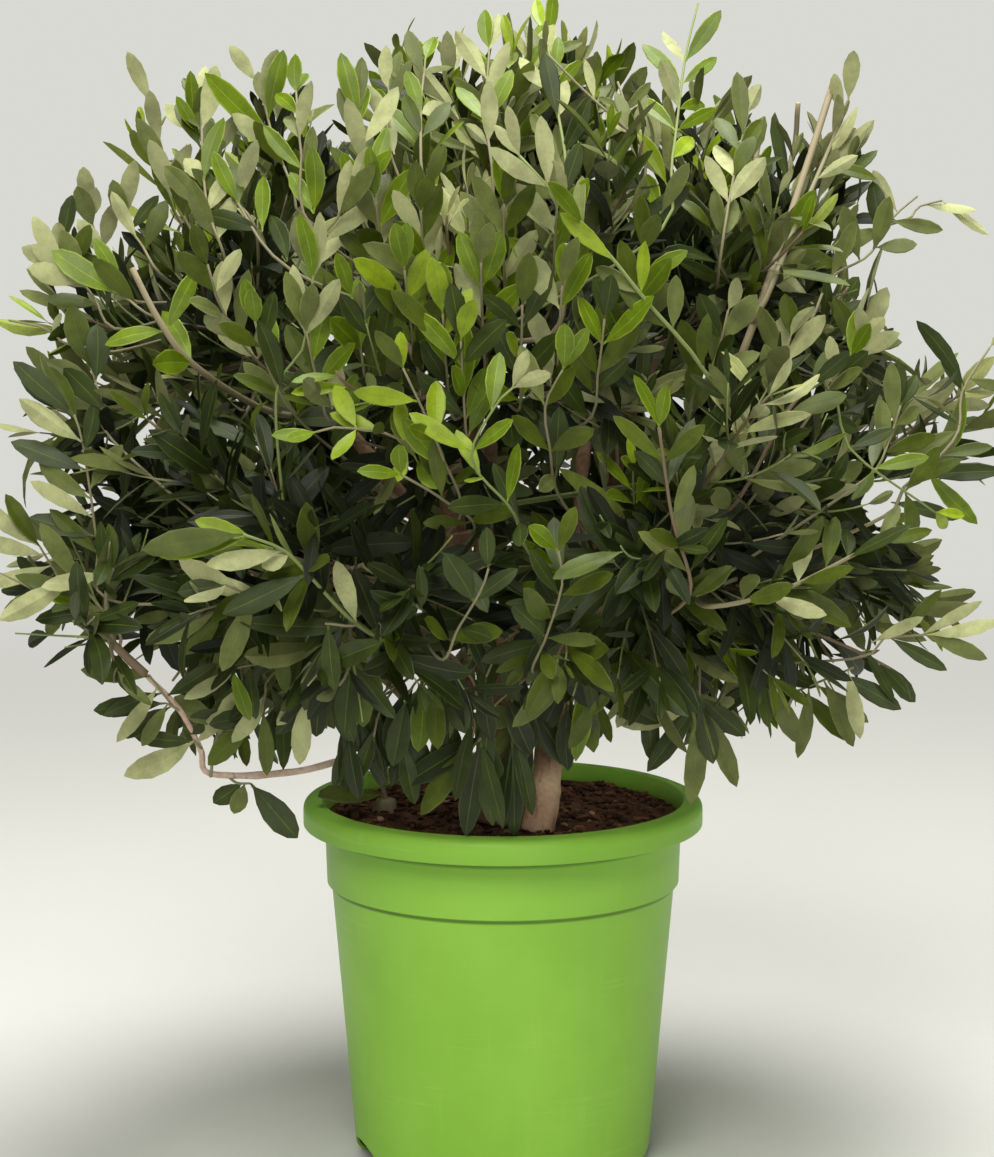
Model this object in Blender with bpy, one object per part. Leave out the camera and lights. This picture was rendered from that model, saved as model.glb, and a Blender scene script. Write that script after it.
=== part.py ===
"""A bushy olive in a plastic pot: pot, soil, two stems, their boughs, and the masses of leafy twigs.

Metres, +Z up. The origin is the middle of the pot's flat underside, and the plant is seen from -Y.
"""

import math
import random

import bmesh
import bpy
from mathutils import Matrix, Vector
from mathutils.bvhtree import BVHTree
from mathutils.geometry import interpolate_bezier

UP = Vector((0, 0, 1))
GAP = 0.0003  # between pieces that rest on each other

# Pot: a tapered body under a wider band, with a rolled lip round its top.
POT_HEIGHT = 0.278
RIM_RADIUS = 0.150
WALL = 0.0022
FLOOR = 0.003
BASE_RADIUS = 0.1122
BASE_ROUND = 0.010
BODY_TOP_Z, BODY_TOP_RADIUS = 0.2130, 0.1293
BAND_FOOT_Z, BAND_FOOT_RADIUS = 0.2145, 0.1330
BAND_TOP_Z, BAND_TOP_RADIUS = 0.2575, 0.1345
INNER_STEP_FOOT, INNER_STEP_TOP = 0.2155, 0.2175  # a wall's thickness above the outer step
LIP_Z = 0.2680  # where the lip is widest
LIP_INNER_RADIUS = 0.1365
POT_STEPS = 32
DRAINS = 4  # arched openings at the base's corner
DRAIN_TURN = 198  # degrees from +X to the first one
DRAIN_WIDTH, DRAIN_HEIGHT = 0.068, 0.0205
DRAIN_DEPTH = 0.030

# Soil: fills the pot to a little under the lip.
SOIL_TOP = 0.2660
SOIL_FLAT_RADIUS = 0.098
SOIL_EDGE_DROP = 0.001
SOIL_FOOT_INSET = 0.016  # at the floor, clear of the drains

# Stems: each is a list of centres from the ground up.
TRUNK_ROUTE = (
    (-0.008, -0.030, SOIL_TOP + GAP),
    (0.000, -0.029, 0.300),
    (0.003, -0.026, 0.345),
    (-0.012, -0.020, 0.398),
    (-0.030, -0.014, 0.445),
    (-0.036, -0.010, 0.480),
)
TRUNK_RADIUS, TRUNK_TOP_RADIUS, TRUNK_FLARE = 0.0160, 0.0112, 0.0055
SECOND_ROUTE = (
    (0.025, -0.068, SOIL_TOP + GAP),
    (0.0305, -0.065, 0.295),
    (0.036, -0.058, 0.335),
    (0.047, -0.046, 0.385),
    (0.066, -0.033, 0.436),
)
SECOND_RADIUS, SECOND_TOP_RADIUS, SECOND_FLARE = 0.0104, 0.0078, 0.0022
FLARE_SHARE = 0.10  # of a stem's length

# Crown: a dome with full shoulders and a flatter underside, which is higher at the front.
CROWN_CENTRE = Vector((-0.004, 0.000, 0.480))
CROWN_HALF_WIDTH, CROWN_HALF_DEPTH = 0.374, 0.355
CROWN_RISE = 0.384
CROWN_DROP, CROWN_FRONT_DROP = 0.200, 0.115
CROWN_FULLNESS = 2.6  # exponent of the dome's outline; 2 would be an ellipse
OUTERMOST = 1.03  # share of the way out that no leaf's tip passes
MASS_START = 0.42  # a mass begins at this share of the way out to the crown's outline

# Masses of foliage: azimuth anticlockwise from +X, and elevation, in degrees.
MASSES = {
    "foliage_top": (90, 90),
    "foliage_upper_front": (268, 36),
    "foliage_upper_right": (338, 46),
    "foliage_upper_back_right": (52, 36),
    "foliage_upper_back_left": (124, 46),
    "foliage_upper_left": (194, 38),
    "foliage_low_front_left": (236, -4),
    "foliage_low_front_right": (302, -4),
    "foliage_low_right": (0, -2),
    "foliage_low_back_right": (62, -16),
    "foliage_low_back_left": (118, 0),
    "foliage_low_left": (178, -12),
}

# Boughs: the limb each grows from, how far along it, its mass, and its radius at the root.
BOUGHS = {
    "leader": ("trunk", 1.00, "foliage_top", 0.0086),
    "bough_upper_left": ("trunk", 0.78, "foliage_upper_left", 0.0074),
    "bough_upper_back_left": ("trunk", 0.69, "foliage_upper_back_left", 0.0072),
    "bough_upper_front": ("trunk", 0.60, "foliage_upper_front", 0.0070),
    "bough_low_back_right": ("trunk", 0.52, "foliage_low_back_right", 0.0064),
    "bough_low_front_left": ("trunk", 0.45, "foliage_low_front_left", 0.0062),
    "bough_low_back_left": ("trunk", 0.37, "foliage_low_back_left", 0.0064),
    "bough_low_left": ("trunk", 0.28, "foliage_low_left", 0.0060),
    "bough_upper_right": ("second_stem", 1.00, "foliage_upper_right", 0.0068),
    "bough_upper_back_right": ("second_stem", 0.76, "foliage_upper_back_right", 0.0060),
    "bough_low_right": ("second_stem", 0.62, "foliage_low_right", 0.0058),
    "bough_low_front_right": ("second_stem", 0.48, "foliage_low_front_right", 0.0054),
}
BOUGH_TIP_RADIUS = 0.0036
BOUGH_SIDES, BOUGH_STATIONS = 6, 7

# The bare bough that sweeps out low to the left, then turns up into a small mass of its own.
SWEEP_SHARE = 0.22  # how far up the trunk it leaves
SWEEP_OUT = (
    (-0.122, -0.090, 0.326),
    (-0.148, -0.102, 0.318),
    (-0.182, -0.112, 0.315),
    (-0.210, -0.120, 0.320),
)
SWEEP_UP = ((-0.217, -0.123, 0.338), (-0.231, -0.128, 0.368), (-0.256, -0.134, 0.396))
SWEEP_RADII = (0.0036, 0.0027, 0.0023)  # at its root, bend and tip
SWEEP_MASS = "foliage_sweep"
SWEEP_MASS_CENTRE, SWEEP_MASS_RADIUS = Vector((-0.300, -0.158, 0.430)), 0.078

# Twigs and leaves, fewer and larger than life.
OUTER_SHOOTS, OUTER_REACH = 98, (0.78, 0.94)  # share of the way out at which a shoot ends
INNER_SHOOTS, INNER_REACH = 40, (0.56, 0.68)
STEM_REACH = 0.70
TWIG_RADIUS, TWIG_TIP_RADIUS = 0.0021, 0.0011
STEM_TIP_RADIUS = 0.0016
LEAF_LENGTH, LEAF_WIDTH, LEAF_DEPTH = 0.098, 0.034, 0.0024
LEAF_PAIR_STEP = 0.037  # along a twig
LEAFY_SHARE = 0.66  # of a twig, from its tip back
LEAF_SPREAD = math.radians(48)  # between a leaf and its twig
LEAF_ROOT_SUNK = 0.0004
LEAF_STALK = 0.0045  # the part of a leaf that may meet its twig
LEAF_TRIES = 14
CELL_MARGIN = 0.0025  # that a mass keeps to its side of the border with the next
LIMB_CLEARANCE = 0.004
UNDERSIDE = -0.60  # no shoot points further down than this

# Shoots with a place of their own: the mass, the tip, and the way it points there.
PLACED_OUTERMOST = 1.5
PLACED_SHOOTS = (
    ("foliage_low_front_left", (-0.022, -0.150, 0.352), (-0.35, -0.25, -0.9)),
    ("foliage_low_front_left", (-0.002, -0.152, 0.362), (0.10, -0.30, -0.9)),
    ("foliage_low_front_left", (-0.156, -0.285, 0.505), (-0.95, 0.05, 0.25)),
    ("foliage_low_front_right", (0.064, -0.196, 0.390), (0.05, -0.30, -0.9)),
    ("foliage_low_front_right", (0.118, -0.168, 0.360), (0.60, -0.20, -0.7)),
    ("foliage_low_left", (-0.196, -0.020, 0.340), (-0.20, -0.10, -0.9)),
    ("foliage_low_left", (-0.335, -0.020, 0.560), (-0.90, 0.00, 0.4)),
    ("foliage_upper_left", (-0.262, -0.020, 0.770), (-0.30, 0.00, 1.0)),
    ("foliage_upper_right", (0.318, -0.040, 0.705), (0.90, 0.00, 0.5)),
    ("foliage_upper_right", (0.240, -0.030, 0.778), (0.20, 0.00, 1.0)),
    ("foliage_top", (0.120, -0.010, 0.795), (0.30, 0.00, 1.0)),
)

# The young shoot at the foot of the stems.
SUCKER_FOOT = Vector((-0.088, 0.000, SOIL_TOP + GAP))
SUCKER_TOP = Vector((-0.100, -0.004, 0.318))
SUCKER_RADIUS = 0.0024


def material(name, colour, roughness):
    made = bpy.data.materials.new(name)
    made.use_nodes = True
    shader = made.node_tree.nodes["Principled BSDF"]
    shader.inputs["Base Color"].default_value = (*colour, 1)
    shader.inputs["Roughness"].default_value = roughness
    shader.inputs["Metallic"].default_value = 0
    return made


def link(name, mesh, surface, collection=None):
    mesh.materials.clear()
    mesh.materials.append(surface)
    made = bpy.data.objects.new(name, mesh)
    (collection or bpy.context.scene.collection).objects.link(made)
    return made


def shade_round(mesh, sharp_degrees=35):
    mesh.shade_smooth()
    mesh.set_sharp_from_angle(angle=math.radians(sharp_degrees))


def mesh_of(name, build):
    """A mesh that build(bm) fills."""
    bm = bmesh.new()
    build(bm)
    mesh = bpy.data.meshes.new(name)
    bm.to_mesh(mesh)
    bm.free()
    return mesh


def turned(name, profile, surface):
    """The (radius, height) profile turned about Z. It runs up the inside and down the outside."""
    def build(bm):
        points = [bm.verts.new((radius, 0, height)) for radius, height in profile]
        for lower, upper in zip(points, points[1:]):
            bm.edges.new((lower, upper))

    made = link(name, mesh_of(name, build), surface)
    screw = made.modifiers.new("Turn", "SCREW")
    screw.steps = screw.render_steps = POT_STEPS
    screw.use_merge_vertices = True
    screw.merge_threshold = 0.00002
    screw.use_smooth_shade = True
    return made


def boolean(target, operation, solver="EXACT", other=None, collection=None):
    cut = target.modifiers.new(operation.title(), "BOOLEAN")
    cut.operation = operation
    cut.solver = solver
    if collection:
        cut.operand_type = "COLLECTION"
        cut.collection = collection
    else:
        cut.object = other
    return cut


def hidden(cutter):
    cutter.hide_render = True
    cutter.display_type = "WIRE"
    return cutter


# Pot and soil


def inner_wall(height):
    """The pot's inner radius at a height below the lip."""
    if height <= BODY_TOP_Z:
        share = height / BODY_TOP_Z
        return BASE_RADIUS + share * (BODY_TOP_RADIUS - BASE_RADIUS) - WALL
    share = (height - BAND_FOOT_Z) / (BAND_TOP_Z - BAND_FOOT_Z)
    return BAND_FOOT_RADIUS + max(share, 0) * (BAND_TOP_RADIUS - BAND_FOOT_RADIUS) - WALL


def lip_arc(start_degrees, end_degrees, radius, drop, steps):
    """Points round the lip's section, an ellipse whose widest point is at LIP_Z."""
    for step in range(steps + 1):
        angle = math.radians(start_degrees + step / steps * (end_degrees - start_degrees))
        centre = RIM_RADIUS - radius
        yield centre + radius * math.cos(angle), LIP_Z + drop * math.sin(angle)


def build_pot(surface):
    inside = [
        (0, FLOOR),
        (inner_wall(0) - FLOOR, FLOOR),
        (inner_wall(2 * FLOOR), 2 * FLOOR),
        (inner_wall(BODY_TOP_Z), INNER_STEP_FOOT),
        (inner_wall(BAND_FOOT_Z), INNER_STEP_TOP),
        (inner_wall(SOIL_TOP), SOIL_TOP),
        (LIP_INNER_RADIUS - WALL, POT_HEIGHT - WALL),
        (LIP_INNER_RADIUS, POT_HEIGHT),
    ]
    lip = [
        *lip_arc(75, 0, 0.0105, POT_HEIGHT - LIP_Z, 3),
        *lip_arc(-30, -80, 0.0060, 0.0085, 2),
    ]
    outside = [
        (BAND_TOP_RADIUS, BAND_TOP_Z),
        (BAND_FOOT_RADIUS, BAND_FOOT_Z),
        (BODY_TOP_RADIUS, BODY_TOP_Z),
        (BASE_RADIUS, BASE_ROUND),
        (BASE_RADIUS - 0.25 * BASE_ROUND, 0.30 * BASE_ROUND),
        (BASE_RADIUS - BASE_ROUND, 0),
        (0, 0),
    ]
    pot = turned("pot", inside + lip + outside, surface)

    def drains(bm):
        size = Matrix.Diagonal((2 * DRAIN_HEIGHT, DRAIN_WIDTH, DRAIN_DEPTH, 1))
        place = Matrix.Translation((BASE_RADIUS, 0, 0)) @ Matrix.Rotation(math.pi / 2, 4, "Y")
        for drain in range(DRAINS):
            turn = Matrix.Rotation(math.radians(DRAIN_TURN + drain * 360 / DRAINS), 4, "Z")
            bmesh.ops.create_cone(
                bm, cap_ends=True, segments=16, radius1=0.5, radius2=0.5, depth=1,
                matrix=turn @ place @ size,
            )

    cutter = link("drain_cutter", mesh_of("drain_cutter", drains), surface)
    boolean(pot, "DIFFERENCE", other=hidden(cutter))
    return pot


def build_soil(surface):
    bottom = FLOOR + GAP
    edge = SOIL_TOP - SOIL_EDGE_DROP
    clear = DRAIN_HEIGHT + 0.004
    profile = [
        (0, SOIL_TOP),
        (SOIL_FLAT_RADIUS, SOIL_TOP),
        (inner_wall(edge) - GAP, edge),
        (inner_wall(BAND_FOOT_Z) - GAP, INNER_STEP_TOP + GAP),
        (inner_wall(BODY_TOP_Z) - GAP, INNER_STEP_FOOT + GAP),
        (inner_wall(clear) - GAP, clear),
        (inner_wall(0) - SOIL_FOOT_INSET, bottom),
        (0, bottom),
    ]
    return turned("soil", profile, surface)


# Limbs: the stems and the boughs


def smooth_route(route, count):
    """Points spaced evenly along a smooth curve through the route."""
    points = [Vector(p) for p in route]
    handles = []
    for i, point in enumerate(points):
        before, after = points[max(i - 1, 0)], points[min(i + 1, len(points) - 1)]
        handles.append((after - before) / 6 if 0 < i < len(points) - 1 else (after - before) / 3)
    fine = []
    for i in range(len(points) - 1):
        a, b = points[i], points[i + 1]
        fine += interpolate_bezier(a, a + handles[i], b - handles[i + 1], b, 12)[:-1]
    return resampled(fine + [points[-1]], count)


def resampled(points, count):
    lengths = [0.0]
    for a, b in zip(points, points[1:]):
        lengths.append(lengths[-1] + (b - a).length)
    found, i = [], 0
    for step in range(count):
        wanted = lengths[-1] * step / (count - 1)
        while i < len(points) - 2 and lengths[i + 1] < wanted:
            i += 1
        share = (wanted - lengths[i]) / max(lengths[i + 1] - lengths[i], 1e-9)
        found.append(points[i].lerp(points[i + 1], min(share, 1)))
    return found


def bend(start, start_way, end, end_way, count, pull=0.36):
    """A curve from start to end that leaves and arrives along the two directions."""
    reach = (end - start).length * pull
    near = start + start_way.normalized() * reach
    far = end - end_way.normalized() * reach
    return interpolate_bezier(start, near, far, end, count)


def way_at(points, i):
    return (points[min(i + 1, len(points) - 1)] - points[max(i - 1, 0)]).normalized()


def on_line(points, share):
    """The point and the direction a share of the way along evenly spaced points."""
    place = share * (len(points) - 1)
    i = min(int(place), len(points) - 2)
    return points[i].lerp(points[i + 1], place - i), way_at(points, round(place))


def add_tube(bm, points, radii, sides, first_way=None):
    """A closed tube. A last radius of 0 makes it pointed, and first_way sets the way its first cut faces."""
    across = way_at(points, 0).orthogonal().normalized()
    rings = []
    for i, (point, radius) in enumerate(zip(points, radii)):
        way = first_way if first_way and i == 0 else way_at(points, i)
        across = (across - across.dot(way) * way).normalized()
        beside = way.cross(across)
        if radius == 0:
            rings.append([bm.verts.new(point)])
            continue
        angles = [2 * math.pi * k / sides for k in range(sides)]
        rings.append([bm.verts.new(point + radius * (math.cos(a) * across + math.sin(a) * beside)) for a in angles])
    for lower, upper in zip(rings, rings[1:]):
        for k in range(sides):
            after = (k + 1) % sides
            top = [upper[0]] if len(upper) == 1 else [upper[after], upper[k]]
            bm.faces.new([lower[k], lower[after], *top])
    bm.faces.new(rings[0][::-1])
    if len(rings[-1]) > 1:
        bm.faces.new(rings[-1])


class Limb:
    """A stem or bough: evenly spaced centres with a radius at each."""

    def __init__(self, points, radii, sides):
        self.points, self.radii, self.sides = points, radii, sides

    def mesh(self, name, grown=0.0, first_way=None):
        radii = [radius + grown for radius in self.radii]
        made = mesh_of(name, lambda bm: add_tube(bm, self.points, radii, self.sides, first_way))
        shade_round(made, 60)
        return made

    def end(self, gap):
        """The point a gap past the limb's tip, and the way it faces."""
        way = way_at(self.points, len(self.points) - 1)
        return self.points[-1] + gap * way, way

    def clear_by(self, point):
        """How far the point is outside this limb."""
        nearest = 1.0
        for a, b, radius in zip(self.points, self.points[1:], self.radii):
            along = b - a
            share = max(0, min(1, (point - a).dot(along) / along.length_squared))
            nearest = min(nearest, (point - a - share * along).length - radius)
        return nearest


def tapered(count, root, tip, flare=0.0):
    shares = [i / (count - 1) for i in range(count)]
    return [root + (tip - root) * s + flare * math.exp(-s / FLARE_SHARE) for s in shares]


def build_stem(name, route, radii, count, sides, surface):
    limb = Limb(smooth_route(route, count), tapered(count, *radii), sides)
    link(name, limb.mesh(name, first_way=UP), surface)
    return limb


def build_bough(name, parent, points, radii, surface, first_way=None):
    """A bough. With a first_way it carries on from its parent's end; otherwise its parent cuts its root."""
    limb = Limb(points, radii, BOUGH_SIDES)
    made = link(name, limb.mesh(name, first_way=first_way), surface)
    if not first_way:
        cutter = link(name + "_cutter", parent.mesh(name + "_cutter", grown=GAP), surface)
        boolean(made, "DIFFERENCE", other=hidden(cutter))
    return limb


# Crown


def from_angles(azimuth, elevation):
    a, e = math.radians(azimuth), math.radians(elevation)
    return Vector((math.cos(a) * math.cos(e), math.sin(a) * math.cos(e), math.sin(e)))


def squared_up(offset):
    """An offset from the crown's centre in shares of the crown's half sizes."""
    across, deep = offset.x / CROWN_HALF_WIDTH, offset.y / CROWN_HALF_DEPTH
    front = max(0, -deep) / max(math.hypot(across, deep), 1e-9)
    tall = CROWN_RISE if offset.z > 0 else CROWN_DROP + front * (CROWN_FRONT_DROP - CROWN_DROP)
    return Vector((across, deep, offset.z / tall))


def crown_share(point):
    """How far out the point is: 0 at the crown's centre and 1 on its outline."""
    unit = squared_up(point - CROWN_CENTRE)
    flat = math.hypot(unit.x, unit.y)
    return (flat**CROWN_FULLNESS + abs(unit.z) ** CROWN_FULLNESS) ** (1 / CROWN_FULLNESS)


def crown_point(direction, share):
    """The point that share of the way out to the crown's outline."""
    step = CROWN_CENTRE + 0.1 * direction
    return CROWN_CENTRE + 0.1 * direction * (share / crown_share(step))


def spread_ways(count):
    """Evenly spread directions, without the crown's open underside."""
    turn = math.pi * (3 - math.sqrt(5))
    for k in range(count):
        height = 1 - 2 * (k + 0.5) / count
        if height > UNDERSIDE:
            flat = math.sqrt(1 - height * height)
            yield Vector((flat * math.cos(k * turn), flat * math.sin(k * turn), height))


def shoot_tips():
    """The place and direction of every shoot's tip, from the outside in."""
    rng = random.Random(5)
    tips = []
    for count, reach in ((OUTER_SHOOTS, OUTER_REACH), (INNER_SHOOTS, INNER_REACH)):
        for way in spread_ways(count):
            tips.append((crown_point(way, rng.uniform(*reach)), growth_way(way, rng)))
    return tips


def growth_way(direction, rng):
    """The way a shoot points at its tip: out and up on top, out and down round the skirt."""
    lift = 0.35 + 0.3 * direction.z if direction.z > 0.3 else 1.4 * direction.z
    sway = Vector((rng.uniform(-0.3, 0.3), rng.uniform(-0.3, 0.3), rng.uniform(-0.15, 0.15)))
    return (direction + lift * UP + sway).normalized()


class Mass:
    """One mass of foliage: a stem with twigs and leaves that keep to its own space."""

    def __init__(self, name, start, start_way, seed):
        self.name = name
        self.axis = from_angles(*MASSES[name]) if name in MASSES else start_way
        self.start, self.start_way = start, start_way
        self.random = random.Random(seed)

    def owns(self, point):
        """Whether the point is on this mass's side of every border, by the margin."""
        inside = SWEEP_MASS_RADIUS - (point - SWEEP_MASS_CENTRE).length
        if self.name == SWEEP_MASS:
            return inside > CELL_MARGIN
        if inside > -CELL_MARGIN:
            return False
        unit = squared_up(point - CROWN_CENTRE)
        for name, angles in MASSES.items():
            if name != self.name:
                between = (self.axis - from_angles(*angles)).normalized()
                if unit.dot(between) * CROWN_DROP < CELL_MARGIN:
                    return False
        return True


def clear_of_pot(point):
    return math.hypot(point.x, point.y) > RIM_RADIUS + 0.006 or point.z > POT_HEIGHT + 0.008


LEAF_FACES = ((0, 3, 2), (1, 2, 3), (0, 2, 1), (0, 1, 3))


def leaf_corners(root, way, upper, length, width):
    """Four points of a leaf: the ends of its midrib, which stands a little below, and its two edges."""
    beside = way.cross(upper).normalized()
    upper = beside.cross(way)
    middle = root + 0.56 * length * way + LEAF_DEPTH * upper
    tip = root + length * way - 0.05 * length * upper
    return root, tip, middle - 0.5 * width * beside, middle + 0.5 * width * beside


def add_leaf(bm, corners):
    points = [bm.verts.new(corner) for corner in corners]
    for face in LEAF_FACES:
        bm.faces.new([points[i] for i in face])


class Grower:
    """Grows a mass's twigs and leaves as loose solids, ready to be joined."""

    def __init__(self, mass, limbs, surface):
        self.mass, self.limbs, self.surface = mass, limbs, surface
        self.outermost = OUTERMOST
        self.leaves, self.twigs = [], []
        self.collection = bpy.data.collections.new(mass.name + "_pieces")
        bpy.context.scene.collection.children.link(self.collection)

    def free(self, point):
        return (
            crown_share(point) < self.outermost
            and self.mass.owns(point)
            and clear_of_pot(point)
            and all(limb.clear_by(point) > LIMB_CLEARANCE for limb in self.limbs)
        )

    def piece(self, build):
        """Adds a loose solid, and gives the tree that finds what runs into it."""
        made = link("piece", mesh_of("piece", build), self.surface, self.collection)
        polygons = [tuple(face.vertices) for face in made.data.polygons]
        return BVHTree.FromPolygons([v.co for v in made.data.vertices], polygons)

    def leaf(self, root, twig_way, turn, scale):
        """Tries a leaf at this turn round its twig, and at nearby turns, until one is free."""
        rng = self.mass.random
        across = twig_way.orthogonal().normalized()
        droop = 0.30 * max(-1, min(1, (CROWN_CENTRE.z + 0.04 - root.z) / 0.12))
        for attempt in range(LEAF_TRIES):
            loose = 0.4 + 0.1 * attempt
            spin = Matrix.Rotation(turn + rng.uniform(-loose, loose), 3, twig_way)
            spread = LEAF_SPREAD + rng.uniform(-0.3, 0.25)
            way = math.cos(spread) * twig_way + math.sin(spread) * (spin @ across)
            way = (way - droop * UP).normalized()
            length = LEAF_LENGTH * scale * rng.uniform(0.85, 1.15) * 0.97**attempt
            width = LEAF_WIDTH * (0.6 + 0.4 * scale) * rng.uniform(0.88, 1.12)
            upper = twig_way - twig_way.dot(way) * way + 0.5 * UP
            corners = leaf_corners(root - LEAF_ROOT_SUNK * way, way, upper, length, width)
            blade = (corners[0] + LEAF_STALK * way, *corners[1:])
            tree = BVHTree.FromPolygons(blade, LEAF_FACES)
            middle = 0.5 * (corners[2] + corners[3])
            if any(tree.overlap(other) for other in self.leaves + self.twigs):
                continue
            if all(self.free(point) for point in (middle, *corners[1:])):
                self.piece(lambda bm: add_leaf(bm, corners))
                self.leaves.append(tree)
                return

    def shoot(self, stem, tip, heading):
        """A twig from the stem to the tip, with pairs of leaves and one more at its end."""
        rng = self.mass.random
        for share in (0.30, 0.50, 0.70, 0.85, 0.15, 0.95):
            root, stem_way = on_line(stem, share)
            twig = bend(root, stem_way + (tip - root).normalized(), tip, heading, 9, 0.30)
            if all(self.free(point) for point in twig[1:]):
                break
        else:
            return
        length = sum((b - a).length for a, b in zip(twig, twig[1:]))
        twig = resampled(twig, 4)
        radii = (TWIG_RADIUS, 0.5 * (TWIG_RADIUS + TWIG_TIP_RADIUS), TWIG_TIP_RADIUS, 0)
        self.twigs.append(self.piece(lambda bm: add_tube(bm, twig, radii, 3)))
        turn = rng.uniform(0, math.pi)
        pairs = max(1, round(length * LEAFY_SHARE / LEAF_PAIR_STEP))
        for pair in range(pairs):
            place, twig_way = on_line(twig, 0.92 - (pair + 0.5) * LEAF_PAIR_STEP / length)
            for side in (0, math.pi):
                self.leaf(place, twig_way, turn + pair * math.pi / 2 + side, 1.0)
        place, twig_way = on_line(twig, 0.90)
        self.leaf(place, twig_way, turn, 0.9)


def build_mass(mass, limbs, tips, surface):
    grower = Grower(mass, limbs, surface)
    if mass.name == SWEEP_MASS:
        stem = bend(mass.start, mass.start_way, SWEEP_MASS_CENTRE + 0.045 * UP, UP, 7)
        tips = [(SWEEP_MASS_CENTRE + 0.052 * way, way) for way in spread_ways(7)]
    else:
        out = crown_point(mass.axis, STEM_REACH)
        stem = bend(mass.start, mass.start_way, out, mass.axis + 0.2 * UP, 7)
    placed = [(Vector(tip), Vector(way)) for name, tip, way in PLACED_SHOOTS if name == mass.name]
    for tip, heading in placed + tips:
        grower.outermost = OUTERMOST if (tip, heading) in tips else PLACED_OUTERMOST
        if mass.owns(tip):
            grower.shoot(stem, tip, heading.normalized())
    radii = tapered(len(stem), BOUGH_TIP_RADIUS, STEM_TIP_RADIUS)
    mesh = mesh_of(mass.name, lambda bm: add_tube(bm, stem, radii, 3, mass.start_way))
    made = link(mass.name, mesh, surface)
    fuse(made, grower.collection)


def drop_scraps(mesh):
    """Keeps only the largest body of the mesh."""
    bm = bmesh.new()
    bm.from_mesh(mesh)
    left, bodies = set(bm.faces), []
    while left:
        body, edge_of = set(), [left.pop()]
        while edge_of:
            face = edge_of.pop()
            body.add(face)
            beyond = {other for edge in face.edges for other in edge.link_faces} & left
            left -= beyond
            edge_of += beyond
        bodies.append(body)
    bodies.sort(key=len)
    for scrap in bodies[:-1]:
        bmesh.ops.delete(bm, geom=list(scrap), context="FACES")
    bm.to_mesh(mesh)
    bm.free()


def fuse(target, collection):
    """Joins the collection's solids to the target, then removes them."""
    boolean(target, "UNION", solver="MANIFOLD", collection=collection)
    bpy.context.view_layer.update()
    graph = bpy.context.evaluated_depsgraph_get()
    joined = bpy.data.meshes.new_from_object(target.evaluated_get(graph))
    target.modifiers.clear()
    drop_scraps(joined)
    target.data = joined
    for piece in list(collection.objects):
        bpy.data.objects.remove(piece)
    bpy.data.collections.remove(collection)


def build_sucker(surface):
    """A short shoot of the root, with four leaves."""
    stem = bend(SUCKER_FOOT, UP, SUCKER_TOP, SUCKER_TOP - SUCKER_FOOT, 5)
    collection = bpy.data.collections.new("sucker_pieces")
    bpy.context.scene.collection.children.link(collection)
    for number, share in enumerate((0.42, 0.66, 0.96)):
        place, way = on_line(stem, share)
        for side in (-1, 1):
            out = Matrix.Rotation(1.9 * number, 3, "Z") @ Vector((side, 0, 0))
            leaf_way = (0.5 * out + 0.9 * way).normalized()
            corners = leaf_corners(place - LEAF_ROOT_SUNK * leaf_way, leaf_way, way - out, 0.044, 0.014)
            link("piece", mesh_of("piece", lambda bm: add_leaf(bm, corners)), surface, collection)
    radii = tapered(len(stem), SUCKER_RADIUS, 0.5 * SUCKER_RADIUS)
    made = link("sucker", mesh_of("sucker", lambda bm: add_tube(bm, stem, radii, 5, UP)), surface)
    fuse(made, collection)


def build_boughs(stems, surface):
    """Every bough, and where each mass starts: the point past its bough's tip, and the way it sets off."""
    limbs, starts = {}, {}
    for name, (parent_name, share, mass_name, radius) in BOUGHS.items():
        parent = stems[parent_name]
        start, parent_way = on_line(parent.points, share)
        axis = from_angles(*MASSES[mass_name])
        end = crown_point(axis, MASS_START)
        carries_on = share == 1
        start_way = parent_way if carries_on else 0.6 * parent_way + (end - start).normalized()
        if carries_on:
            start = start + GAP * parent_way
        points = bend(start, start_way, end, axis + 0.35 * UP, BOUGH_STATIONS)
        radii = tapered(BOUGH_STATIONS, radius, BOUGH_TIP_RADIUS)
        limbs[name] = build_bough(name, parent, points, radii, surface, parent_way if carries_on else None)
        starts[mass_name] = limbs[name].end(GAP)

    trunk = stems["trunk"]
    root, bend_radius, tip = SWEEP_RADII
    out = smooth_route([on_line(trunk.points, SWEEP_SHARE)[0], *SWEEP_OUT], 8)
    limbs["bough_sweep"] = build_bough("bough_sweep", trunk, out, tapered(8, root, bend_radius), surface)
    start, way = limbs["bough_sweep"].end(GAP)
    up = smooth_route([start, *SWEEP_UP], 6)
    limbs["bough_sweep_end"] = build_bough(
        "bough_sweep_end", None, up, tapered(6, bend_radius, tip), surface, way
    )
    starts[SWEEP_MASS] = limbs["bough_sweep_end"].end(GAP)
    return limbs, starts


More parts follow.
